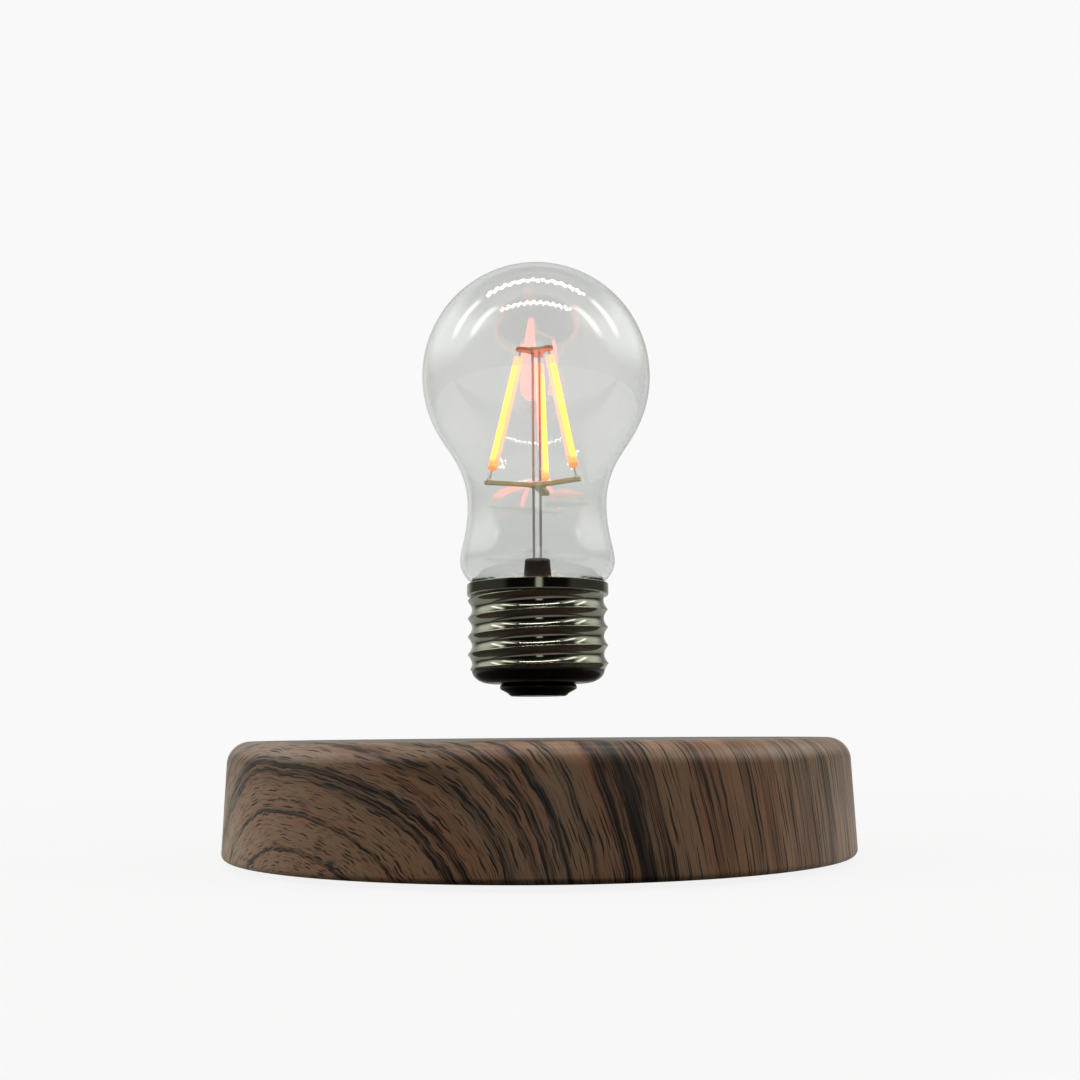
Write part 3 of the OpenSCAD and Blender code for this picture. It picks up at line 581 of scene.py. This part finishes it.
def glass_side(inset):
    """Half section of one glass face from its rim to its top: tuck, bulge, waist, shoulder and globe as
    arcs that meet smoothly, all moved inwards by an inset."""
    tuck_r = BULGE_R - TUCK_ROUND
    outer_tuck = math.acos((SLEEVE_R - tuck_r) / TUCK_ROUND)
    bulge_z = COLLAR_TOP + TUCK_GAP + TUCK_ROUND * math.sin(outer_tuck)
    tuck = math.degrees(math.acos((SLEEVE_R - inset - tuck_r) / (TUCK_ROUND - inset)))
    waist = 2 * math.degrees(math.atan2(BULGE_R - NECK_R, NECK_Z - bulge_z))
    waist_round = (NECK_Z - bulge_z) / math.sin(math.radians(waist)) - BULGE_ROUND
    slope = math.radians(SHOULDER)
    shoulder_r = GLOBE_R * math.cos(slope)
    shoulder_z = GLOBE_Z - GLOBE_R * math.sin(slope)
    neck_rise = NECK_R - shoulder_r + math.tan(slope) * (shoulder_z - NECK_Z)
    neck_round = neck_rise / (1 / math.cos(slope) - 1)
    section = np.vstack([
        line((SLEEVE_R - inset, RIM_Z), (SLEEVE_R - inset, COLLAR_TOP), 3)[:-1],
        arc((tuck_r, bulge_z), TUCK_ROUND - inset, -tuck, 0)[:-1],
        arc((BULGE_R - BULGE_ROUND, bulge_z), BULGE_ROUND - inset, 0, waist, 2)[:-1],
        arc((NECK_R + waist_round, NECK_Z), waist_round + inset, 180 + waist, 180, 1)[:-1],
        arc((NECK_R + neck_round, NECK_Z), neck_round + inset, 180, 180 - SHOULDER, 1.5)[:-1],
        arc((0, GLOBE_Z), GLOBE_R - inset, -SHOULDER, 90, 2),
    ])
    return blown(section)


def blown(section):
    """A section whose bends flow into each other as in blown glass: its points, taken at even steps, are
    averaged along it with bell-shaped weights. Past the top it goes on as its mirror image, and the part
    near the rim stays."""
    whole = np.vstack([section, section[-2::-1] * [-1.0, 1.0]])
    run = np.concatenate([[0.0], np.cumsum(np.linalg.norm(np.diff(whole, axis=0), axis=1))])
    count = round(run[len(section) - 1] / BLOWN_STEP)
    even = np.linspace(0.0, run[-1], 2 * count + 1)
    points = np.column_stack([np.interp(even, run, whole[:, 0]), np.interp(even, run, whole[:, 1])])
    steps = np.arange(-BLOWN_REACH, BLOWN_REACH + 1)
    weights = np.exp(-0.5 * (steps * even[1] / BLOWN_SPREAD) ** 2)
    weights /= weights.sum()
    padded = np.pad(points, ((BLOWN_REACH, BLOWN_REACH), (0, 0)), "edge")
    soft = np.column_stack([np.convolve(column, weights, "valid") for column in padded.T])
    share = ease((even - BLOWN_FROM) / BLOWN_EASE)[:, None]
    return (points + (soft - points) * share)[:count + 1]


def glass_envelope(material):
    """Blown glass: the outer face turned about the axis from the top down to the rim, and the inner face
    back up to the top."""
    outer = glass_side(0.0)[::-1]
    inner = glass_side(GLASS_WALL)
    outer[0, 0] = 0.0
    inner[-1, 0] = 0.0
    surface = turned(np.vstack([outer, inner]), GLASS_SIDES)
    piece = put("glass_envelope", mesh_of("glass_envelope", surface))
    dress(piece, "bulb", "clear_glass", material, "glass_bulb")


def threaded_cap(material):
    """Plated cap. Over the thread, the radius depends on the height less the angle's share of the pitch:
    a wide round groove, and a narrow rounded crest where the two agree. A cone trims the first turn, the
    collar's rounded section takes over above, and the bore steps out for the stem's flange."""
    sides = CAP_SIDES
    angle = np.linspace(0.0, 2 * math.pi, sides, endpoint=False)
    z = np.linspace(THREAD_Z, COLLAR_Z + THREAD_OVERRUN, THREAD_ROWS)[::-1, None]
    crest_turn = FIRST_CREST + math.pi / 2
    turn = (angle[None, :] - crest_turn) / (2 * math.pi) - (z - THREAD_Z) / THREAD_PITCH
    soft = CREST_SOFTNESS
    dip = (np.hypot(np.sin(math.pi * turn), soft) - soft) / (math.hypot(1, soft) - soft)
    thread = THREAD_ROOT + THREAD_DEPTH * (1 - dip ** GROOVE_POWER)
    thread = np.minimum(thread, THREAD_ROOT + LEAD_IN["step"] + (z - THREAD_Z) * LEAD_IN["slope"])
    low = COLLAR_LOW_ROUND
    high = COLLAR_HIGH_ROUND
    collar = np.vstack([
        arc((COLLAR_R - high, COLLAR_TOP - high), high, 90, 0, 6),
        arc((COLLAR_R - low, COLLAR_Z + low), low, 0, -90, 9),
    ])
    bore = np.array([
        (CAP_BORE, THREAD_Z), (CAP_BORE, FLANGE_Z), (COLLAR_BORE, FLANGE_Z), (COLLAR_BORE, COLLAR_TOP),
    ])
    under = z[:, 0] < COLLAR_Z
    radius = np.vstack([
        np.repeat(collar[:, :1], sides, 1), thread[under], np.repeat(bore[:, :1], sides, 1),
    ])
    height = np.concatenate([collar[:, 1], z[under, 0], bore[:, 1]])
    x = radius * np.sin(angle)
    y = -radius * np.cos(angle)
    points = np.stack([x, y, np.broadcast_to(height[:, None], x.shape)], -1).reshape(-1, 3)
    surface = (points, grid_faces(len(height), sides, True), np.zeros((0, 3), int))
    piece = put("threaded_cap", mesh_of("threaded_cap", surface))
    dress(piece, "bulb", "cap_gunmetal", material, "screw_cap", sharp_angle=CAP_SHARP_ANGLE)


def insulator_dish(material):
    """Black dish under the cap: a quarter ellipse outside, turned about the axis, and hollow inside where
    it holds the receiver coil."""
    bowl = arc((0.0, 0.0), 1.0, 0, -90, 5) * [DISH["bowl"], THREAD_Z - BUTTON_TOP]
    bowl += [THREAD_ROOT - DISH["bowl"], THREAD_Z]
    spigot_r = CAP_BORE - DISH["spigot_gap"]
    spigot_z = THREAD_Z + DISH["spigot"]
    inside_r = CAP_BORE - DISH["inside_gap"]
    inside_z = BUTTON_TOP + DISH["floor"]
    profile = np.vstack([
        [(0, inside_z), (inside_r, inside_z), (inside_r, spigot_z)],
        [(spigot_r, spigot_z), (spigot_r, THREAD_Z)],
        bowl,
        [(0, BUTTON_TOP)],
    ])
    piece = put("insulator_dish", mesh_of("insulator_dish", turned(profile, DISH["sides"])))
    dress(piece, "bulb", "gloss_black", material, "cap_insulator")


def contact_cap(material):
    """Rounded contact button, turned about the axis: a flat top, a rounded flange, and a smaller rounded
    foot."""
    height = BUTTON_TOP - BULB_Z
    flange = height * BUTTON["flange_round"]
    foot = height * BUTTON["foot_round"]
    profile = np.vstack([
        [(0, BUTTON_TOP)],
        arc((BUTTON_R - flange, BUTTON_TOP - flange), flange, 90, BUTTON["turn"], 6),
        arc((BUTTON_R * BUTTON["foot_r"], BULB_Z + foot), foot, BUTTON["turn"], -90, 6),
        [(0, BULB_Z)],
    ])
    piece = put("contact_cap", mesh_of("contact_cap", turned(profile, BUTTON["sides"])))
    dress(piece, "bulb", "gloss_black", material, "contact_button")


def filament_strip(side, material):
    """LED filament: a round section with rounded ends carried along the line between its two pins. Its UV
    map holds how far the surface turns to its lit side, from -1 to 1, and the share of the length."""
    turn = math.radians(STAR_ANGLES[side])
    out = np.array([math.cos(turn), math.sin(turn), 0.0])
    foot = out * LOWER_PIN[0] + [0, 0, LOWER_PIN[1]]
    head = out * UPPER_PIN[0] + [0, 0, UPPER_PIN[1]]
    along = (head - foot) / np.linalg.norm(head - foot)
    left = np.array([-1.0, 0.0, 0.0])
    left = left - along * (left @ along)
    left /= np.linalg.norm(left)
    front = np.cross(along, left)
    edge = FILAMENT_EDGE
    profile = np.vstack([
        [(0, FILAMENT_L)],
        arc((FILAMENT_R - edge, FILAMENT_L - edge), edge, 90, 0, 15),
        line((FILAMENT_R, FILAMENT_L - edge), (FILAMENT_R, edge), FILAMENT_ROWS)[1:-1],
        arc((FILAMENT_R - edge, edge), edge, 0, -90, 15),
        [(0, 0)],
    ])
    points, quads, triangles = turned(profile, FILAMENT_SIDES)
    start = foot + along * FILAMENT_START
    share = points[:, 2] / FILAMENT_L
    outward = -points[:, :1] * front - points[:, 1:2] * left
    placed = start + outward + points[:, 2:] * along
    lit = math.radians(LIT_ANGLES[side])
    facing = outward @ np.array([math.cos(lit), math.sin(lit), 0.0]) / FILAMENT_R
    mesh = mesh_of(side + "_filament_strip", (placed, quads, triangles))
    corner_points = np.zeros(len(mesh.loops), np.int32)
    mesh.loops.foreach_get("vertex_index", corner_points)
    uv = np.stack([facing[corner_points], share[corner_points]], -1).astype(np.float32)
    mesh.uv_layers.new(name="glow").data.foreach_set("uv", uv.ravel())
    piece = put(side + "_filament_strip", mesh)
    dress(piece, "bulb", "filament_glow", material, side + "_filament")


def ring_tone(year, tones):
    """Tone of the wood at a ring radius, from a list of radii and tones."""
    first = tones[0][0]
    span = tones[-1][0] - first
    grey = [(radius, tone / TONE_SPAN) for radius, tone in tones]
    stops = [((radius - first) / span, (tone, tone, tone, 1.0)) for radius, tone in grey]
    return year.add("ValToRGB", {"stops": stops}, {"Fac": (year - first) / span}) * TONE_SPAN


def grain_noise(across, along, layer, detail=2.0, roughness=0.5):
    """Smooth noise over a ring radius and an angle, each in cells of about one unit. Layers differ."""
    return noise(place(across, along, layer), 1.0, detail, roughness)


def dashes(across, along, size):
    """Short strokes over a plane, one in each cell of about one unit, of random thickness up to a size."""
    values = {"Vector": place(across, along), "Scale": 1.0}
    cells = across.add("TexVoronoi", {"voronoi_dimensions": "2D"}, values)
    chance, _, _ = parts_of(cells.out("Color"))
    reach = cells.out("Distance") / (size * (0.35 + chance * 0.65))
    return fade(reach, 0.75, 1.15)


def wood_film():
    """Printed walnut film with a satin gloss: the tone follows the growth rings, with short dark pores
    along them near the heart and long fine lines far from it. The base's top is much darker, a painted
    shade, and the rounded edge over the heart a little, a painted shade too."""
    film = Finish("wood_film")
    ring, angle, _ = parts_of(film.start.add("UVMap", {"uv_map": "grain"}))
    sway = grain_noise(ring * 0.05, angle * 2.0, 3.0, detail=1.0) - 0.5
    ripple = grain_noise(ring * 0.30, angle * 13.0, 9.0, detail=1.0) - 0.5
    year = ring + sway * 1.8 + ripple * 0.8

    far = rise(ring, 62.0, 88.0)
    streak = grain_noise(year * 0.45, angle * 1.6, 21.0, roughness=0.6) - 0.5
    strands = grain_noise(year * 1.9, angle * 0.9, 33.0, roughness=0.6) - 0.5
    tone = ring_tone(year, NEAR_TONES) * ring_tone(year, FAR_TONES)
    light = tone + streak * (0.40 + far * 0.5) + strands
    dark = fade(light, 0.50, 1.05)

    pores = dashes(year * 1.35, angle * (4.4 - far * 0.9), 0.24 + dark * 0.20)
    fine = dashes(year * 2.4 + 40.0, angle * (5.0 - far * 2.0), 0.20 + dark * 0.30)
    hairs = dashes(year * 3.3 + 90.0, angle * 3.4, 0.20 + dark * 0.28)
    fibre = grain_noise(year * 3.1, angle * 3.0, 2.0)

    red = rise(grain_noise(year * 0.16, angle * 1.4, 17.0), 0.40, 0.66)
    brown = blend(red, linear(167, 133, 106), linear(171, 124, 97))
    deep = blend(red, linear(58, 47, 42), linear(60, 45, 38))
    pale = linear(168, 139, 110)
    black = linear(26, 21, 20)
    body = blend(rise(light, 0.38, 1.06), deep, brown)
    body = blend(rise(fibre, 0.52, 0.74) * 0.35, body, pale)
    heart_gain = (1.10, 1.10, 1.10, 1.0)
    body = blend(fade(ring, 28.0, 62.0), body, heart_gain, "MULTIPLY")
    body = blend(hairs * 0.58, body, black)
    body = blend(fine * 0.75, body, black)
    body = blend(pores * 0.90, body, black)

    x, y, z = parts_of(film.where())
    # Painted shade: the base's whole top is made much darker than its wood, so that it looks shaded and the
    # cap's undersides mirror it dark.
    top = fade(from_axis(x, y), 0.0570, 0.0625) * rise(z, 0.0235, 0.0240)
    painted_top_shade = (0.24, 0.23, 0.22, 1.0)
    body = blend(top, body, painted_top_shade, "MULTIPLY")
    # Painted shade: the rounded top edge on the heart's side is darkened a little, toning down the light it
    # catches.
    painted_edge_shade_mask = rise(z, 0.0180, 0.0215) * fade(ring, 46.0, 70.0)
    painted_edge_shade = (0.80, 0.82, 0.84, 1.0)
    body = blend(painted_edge_shade_mask, body, painted_edge_shade, "MULTIPLY")

    carved = 1.0 - pores * 0.7 - fine * 0.4
    worn = 0.36 + (fibre - 0.5) * 0.12 + pores * 0.10
    return film.shade(
        Base_Color=body, Roughness=worn, Normal=bump(carved, 0.00003), Specular_IOR_Level=0.45,
    )


def moulded(name, colour, roughness, spread=0.25, grain_size=0.0006, depth=0.00002, **extra):
    """Moulded plastic or rubber: fine spark texture, and a slow drift of its colour and gloss."""
    finish = Finish(name)
    at = finish.where()
    slow = noise(at, 60.0, detail=3.0)
    fine = noise(at, 1.0 / grain_size)
    tint = mottled(slow, scaled(colour, 1 - spread), scaled(colour, 1 + spread))
    gloss = roughness + (slow - 0.5) * 0.12 + (fine - 0.5) * 0.10
    return finish.shade(Base_Color=tint, Roughness=gloss, Normal=bump(fine, depth), **extra)


def metal(name, colour, roughness, spread=0.12, scratch=(900.0, 900.0, 60.0), depth=0.000006):
    """Bare or plated metal: fine drawn lines, and a faint stain."""
    finish = Finish(name)
    at = finish.where()
    stain = noise(at, 90.0, detail=3.0)
    drawn = noise(at.add("Mapping", None, {"Vector": at, "Scale": scratch}), 1.0)
    tint = mottled(stain, scaled(colour, 1 - spread), colour)
    gloss = roughness + (drawn - 0.5) * 0.10 + (stain - 0.5) * 0.08
    return finish.shade(Base_Color=tint, Metallic=1.0, Roughness=gloss, Normal=bump(drawn, depth))


def copper_turns():
    """Enamelled copper wire, wound in turns that show as fine ridges across the height and the radius."""
    finish = Finish("copper_turns")
    at = finish.where()
    x, y, z = parts_of(at)
    up_turns = z.maths("SINE", z * 14000.0)
    flat_turns = z.maths("SINE", from_axis(x, y) * 9000.0)
    ridge = (up_turns + flat_turns) * 0.25 + 0.5
    stain = noise(at, 300.0, detail=3.0)
    tint = blend(rise(ridge, 0.1, 0.9), linear(96, 42, 18), linear(206, 124, 74))
    tint = blend(rise(stain, 0.4, 0.8) * 0.5, tint, linear(150, 78, 40))
    gloss = 0.30 + (stain - 0.5) * 0.2
    return finish.shade(Base_Color=tint, Metallic=0.9, Roughness=gloss, Normal=bump(ridge, 0.00008))


def circuit_board():
    """Green solder mask over copper tracks, with small tinned pads."""
    finish = Finish("circuit_board")
    at = finish.where()
    cells = at.add("TexVoronoi", {"feature": "DISTANCE_TO_EDGE"}, {"Vector": at, "Scale": 260.0})
    tracks = fade(cells, 0.04, 0.09)
    spots = at.add("TexVoronoi", {"feature": "F1"}, {"Vector": at, "Scale": 420.0})
    pads = fade(spots, 0.13, 0.17)
    weave = noise(at, 900.0)
    mask = mottled(weave, linear(16, 74, 46), linear(22, 92, 56))
    tint = blend(tracks * 0.6, mask, linear(34, 124, 72))
    tint = blend(pads, tint, linear(196, 192, 180))
    gloss = 0.34 - pads * 0.08 + (weave - 0.5) * 0.1
    raised = bump(tracks * 0.5 + pads * 0.3, 0.00004)
    return finish.shade(Base_Color=tint, Metallic=pads * 0.9, Roughness=gloss, Normal=raised)


def gunmetal():
    """Black nickel plate: dark, warm and mirror-bright, with a faint handling haze."""
    finish = Finish("gunmetal")
    at = finish.where()
    haze = noise(at, 160.0, detail=3.0)
    fine = noise(at, 2600.0)
    tint = mottled(haze, linear(122, 121, 109), linear(134, 133, 121))
    gloss = 0.07 + rise(haze, 0.45, 0.8) * 0.06 + (fine - 0.5) * 0.03
    return finish.shade(Base_Color=tint, Metallic=1.0, Roughness=gloss, Normal=bump(haze, 0.00002))


def gloss_black():
    """Glossy black moulding with faint sink marks and fine wear."""
    finish = Finish("gloss_black")
    at = finish.where()
    slow = noise(at, 120.0)
    fine = noise(at, 1800.0)
    tint = mottled(slow, linear(5, 5, 5), linear(12, 11, 10))
    gloss = 0.22 + (slow - 0.5) * 0.08 + rise(fine, 0.6, 0.8) * 0.08
    return finish.shade(
        Base_Color=tint, Roughness=gloss, Normal=bump(slow, 0.00003), Specular_IOR_Level=0.22,
    )


def clear_glass():
    """Blown clear glass, a little darker in the neck, greyer and greener towards its edge, with a faint
    drift of its tint."""
    finish = Finish("clear_glass")
    at = finish.where()
    edge = finish.start.add("LayerWeight", None, {"Blend": 0.5}).out("Facing")
    drift = noise(at, 70.0)
    _, _, z = parts_of(at)
    clear = blend(rise(z, 0.066, 0.092), (0.770, 0.780, 0.765, 1.0), (0.835, 0.840, 0.825, 1.0))
    tint = blend(rise(edge, 0.50, 1.0), clear, (0.70, 0.74, 0.71, 1.0))
    tint = blend(rise(drift, *PATCHES) * 0.2, tint, (0.88, 0.89, 0.88, 1.0))
    waves = bump(drift, 0.00001)
    return finish.shade(
        Base_Color=tint, Roughness=0.0, IOR=GLASS_INDEX, Transmission_Weight=1.0, Normal=waves,
    )


def filament_glow():
    """Lit LED filament: bright yellow phosphor on its lit side, pale pink on its back and its upper end,
    and orange at its lower end."""
    finish = Finish("filament_glow")
    facing, share, _ = parts_of(finish.start.add("UVMap", {"uv_map": "glow"}))
    grains = noise(finish.where(), 2500.0)
    yellow = mottled(grains, (6.6, 1.40, 0.19, 1.0), (7.6, 1.65, 0.24, 1.0))
    pink = (6.5, 0.74, 0.50, 1.0)
    orange_glow = (2.5, 0.56, 0.20, 1.0)
    dim_orange = (1.2, 0.30, 0.08, 1.0)
    lit = blend(rise(facing, 0.28, 0.42), pink, yellow)
    lit = blend(rise(share, 0.885, 0.925), lit, pink)
    lit = blend(fade(share, 0.05, 0.12), lit, orange_glow)
    lit = blend(fade(share, 0.01, 0.04), lit, dim_orange)
    skin = mottled(grains, linear(232, 176, 60), linear(246, 196, 84))
    gloss = 0.45 + (grains - 0.5) * 0.2
    return finish.shade(Base_Color=skin, Roughness=gloss, Emission_Color=lit, Emission_Strength=1.0)


def bracket_olive():
    """Olive coated bracket with a fine rolled texture, and a painted orange glow on the upper bracket
    between the filaments, standing in for their light."""
    finish = Finish("bracket_olive")
    at = finish.where()
    _, _, z = parts_of(at)
    rolled = noise(at, 900.0)
    slow = noise(at, 260.0)
    olive = mottled(slow, linear(232, 216, 112), linear(250, 240, 152))
    orange_glow = mottled(slow, linear(196, 140, 58), linear(212, 162, 86))
    # Painted light: above this height the bracket is coloured orange as if lit by the filaments' glow.
    tint = blend(rise(z, 0.095, 0.1), olive, orange_glow)
    gloss = 0.42 + (slow - 0.5) * 0.2
    return finish.shade(Base_Color=tint, Metallic=0.10, Roughness=gloss, Normal=bump(rolled, 0.00002))


def tent_light():
    """A light tent with bright upper sides, two brighter seams down each side, a dim ceiling, dim walls, a
    brighter back, and a dark opening towards the camera with a narrow bright gap in its middle. The camera,
    and whatever is seen through the glass, meet an even white."""
    world = bpy.data.worlds.new("tent")
    bpy.context.scene.world = world
    world.use_nodes = True
    tree = world.node_tree
    tree.nodes.clear()
    start = Wire(tree)
    x, y, z = parts_of(start.add("TexCoord").out("Generated"))
    level = from_axis(x, y) + 0.001
    sideways = x / level
    aside = abs_of(sideways)
    facing = 0.0 - y / level

    opening = rise(facing, 0.50, 0.70)
    gap = close_to(sideways, 0.04, 0.04, 0.13) * opening * close_to(z, 0.08, 0.20, 0.34)
    walls = WALL_LIGHT * (1.0 - opening) + OPENING_LIGHT * opening + GAP_LIGHT * gap
    upper_sides = rise(aside, 0.45, 0.85) * fade(z, 0.60, 0.82)
    ceiling = OVERHEAD_LIGHT + upper_sides * (UPPER_SIDE_LIGHT - OVERHEAD_LIGHT)
    height = z - rise(facing, 0.05, 0.65) * 0.36 + rise(aside, 0.60, 0.90) * 0.05
    tent = walls + (ceiling - walls) * rise(height, 0.18, 0.48)
    rear_seam = close_to(y, 0.10, 0.01, 0.10)
    front_seam = close_to(y, -0.29, 0.01, 0.09)
    seams = (rear_seam + front_seam) * rise(z, 0.42, 0.58) * fade(z, 0.78, 0.86)
    back = rise(0.0 - facing, 0.62, 0.92) * fade(z, 0.72, 0.86) * (1.0 - rise(x, 0.05, 0.45) * 0.45)
    shine = tent + seams * SEAM_LIGHT + back * BACK_LIGHT

    _, seen = ray_kinds(start)
    colour = place(shine, shine * TENT_GREEN, shine * TENT_BLUE)
    inside = start.add("Background", None, {"Color": colour})
    white = start.add("Background", None, {"Color": (BACKGROUND, BACKGROUND, BACKGROUND, 1.0)})
    both = start.add("MixShader", None, {0: seen, 1: inside, 2: white})
    start.add("OutputWorld", None, {"Surface": both})


def floor():
    """Pale round floor: rings about the origin. The camera sees it as the background's white, less a
    share of the shadow. To other rays it is dark in front of the lamp, as the tent is, and mirrors see a
    part of that white again where the floor lies well in front of the base."""
    finish = Finish("floor_white")
    start = finish.start
    x, y, _ = parts_of(finish.where())
    ahead = 0.0 - y
    far = rise(from_axis(x, y), 0.12, 0.40)
    path, seen = ray_kinds(start)
    mirrored = path.out("Is Glossy Ray") * rise(ahead, 0.10, 0.14) * FLOOR_MIRRORED
    share = seen * (FLOOR_SHOWN + far * (1.0 - FLOOR_SHOWN)) + mirrored
    ground = FLOOR_PALE - (1.0 - seen) * rise(ahead, 0.02, 0.07) * FLOOR_DARKENING
    pale = start.add("BsdfDiffuse", None, {"Color": place(ground, ground, ground)})
    bright = BACKGROUND + (1.0 - far) * FLOOR_LIFT
    white = start.add("Emission", None, {"Color": place(bright, bright, bright)})
    both = start.add("MixShader", None, {0: share, 1: pale, 2: white})
    start.add("OutputMaterial", None, {"Surface": both})

    sides = FLOOR["sides"]
    radius = np.geomspace(FLOOR["first_r"], FLOOR["last_r"], FLOOR["rings"])[:, None]
    angle = np.linspace(0.0, 2 * math.pi, sides, endpoint=False)
    level = np.zeros((FLOOR["rings"], sides))
    rings = np.stack([radius * np.sin(angle), -radius * np.cos(angle), level], -1).reshape(-1, 3)
    points = np.vstack([rings, np.zeros((1, 3))])
    column = np.arange(sides)
    middle = np.stack([np.full(sides, len(rings)), column, (column + 1) % sides], -1)
    mesh = mesh_of("floor", (points, grid_faces(FLOOR["rings"], sides, False), middle))
    mesh.materials.append(finish.material)
    put("floor", mesh)


def light_strip(name, half_length, y):
    """A row of small flat lights across the ceiling, from left to right: four corners about each centre.
    Every second light stands to the other side of the row by the zigzag."""
    count = STRIP["count"]
    swing = STRIP["zigzag"] * (np.arange(count) % 2 * 2 - 1)
    x = np.linspace(-half_length, half_length, count)
    centre = np.column_stack([x, y + swing, np.full(count, STRIP["z"])])
    length, width = STRIP["size"]
    signs = np.array([(1, 1, 0), (-1, 1, 0), (-1, -1, 0), (1, -1, 0)])
    corners = signs * [length / 2.0, width / 2.0, 0.0]
    points = (centre[:, None, :] + corners[None, :, :]).reshape(-1, 3)
    quads = np.arange(len(points)).reshape(-1, 4)[:, ::-1]
    finish = Finish(name)
    lamp = finish.start.add("Emission", None, {"Color": STRIP_COLOUR, "Strength": STRIP["strength"]})
    finish.start.add("OutputMaterial", None, {"Surface": lamp})
    mesh = mesh_of(name, (points, quads, np.zeros((0, 3), int)))
    mesh.materials.append(finish.material)
    strip = put(name, mesh)
    strip.visible_camera = False


def camera():
    """Camera just above the base's top in front of the lamp, tipped up and slightly rolled."""
    data = bpy.data.cameras.new("camera")
    data.lens = CAMERA["lens"]
    data.sensor_width = CAMERA["sensor"]
    made = bpy.data.objects.new("camera", data)
    made.location = CAMERA["place"]
    made.rotation_mode = "ZXY"
    made.rotation_euler = (math.radians(90.0 + CAMERA["pitch"]), 0.0, math.radians(CAMERA["roll"]))
    bpy.context.scene.collection.objects.link(made)
    bpy.context.scene.camera = made


FINISHES = {
    "plate_plastic": moulded("plate_plastic", linear(38, 38, 41), 0.55),
    "foot_rubber": moulded(
        "foot_rubber", linear(30, 30, 31), 0.80, spread=0.2, grain_size=0.0004, depth=0.00003,
    ),
    "screw_steel": metal("screw_steel", linear(196, 196, 200), 0.30),
    "board_green": circuit_board(),
    "bobbin_plastic": moulded("bobbin_plastic", linear(226, 222, 208), 0.48, spread=0.06),
    "copper": copper_turns(),
    "core_iron": metal("core_iron", linear(140, 142, 145), 0.45),
    "ferrite": moulded("ferrite", linear(62, 62, 66), 0.62, spread=0.3, grain_size=0.0003, depth=0.00004),
    "chip_black": moulded("chip_black", linear(34, 34, 36), 0.58),
    "socket_plastic": moulded("socket_plastic", linear(36, 36, 38), 0.42),
    "contact_metal": metal("contact_metal", linear(214, 212, 206), 0.25),
    "capacitor_sleeve": moulded("capacitor_sleeve", linear(42, 46, 60), 0.25, spread=0.15),
    "magnet_nickel": metal("magnet_nickel", linear(206, 205, 200), 0.12),
    "stem_black": moulded(
        "stem_black", linear(3, 9, 15), 0.48, spread=0.18, grain_size=0.0005, depth=0.00001,
        Specular_IOR_Level=0.15,
    ),
    "wire_grey": metal(
        "wire_grey", linear(168, 164, 158), 0.32, spread=0.2, scratch=(2500.0, 2500.0, 120.0),
    ),
    "bracket_olive": bracket_olive(),
    "solder": moulded(
        "solder", linear(242, 242, 236), 0.30, spread=0.05, grain_size=0.0003, Metallic=0.4,
    ),
    "gloss_black": gloss_black(),
    "cap_gunmetal": gunmetal(),
    "clear_glass": clear_glass(),
    "filament_glow": filament_glow(),
    "wood_grain": wood_film(),
}

for row in frame["record"]["subparts"]:
    shown = nodes[row["node"]]
    shown.data.materials.clear()
    shown.data.materials.append(FINISHES[row["material_slot"]])

camera()
tent_light()
floor()
light_strip("ceiling_strip_rear", half_length=245.0, y=35.0)
light_strip("ceiling_strip_front", half_length=250.0, y=-238.0)

wood_shell(FINISHES["wood_grain"], moulded("shell_inside", linear(44, 40, 38), 0.6))
glass_envelope(FINISHES["clear_glass"])
threaded_cap(FINISHES["cap_gunmetal"])
insulator_dish(FINISHES["gloss_black"])
contact_cap(FINISHES["gloss_black"])
for side in STAR_ANGLES:
    filament_strip(side, FINISHES["filament_glow"])

bpy.context.scene.view_settings.view_transform = "Standard"
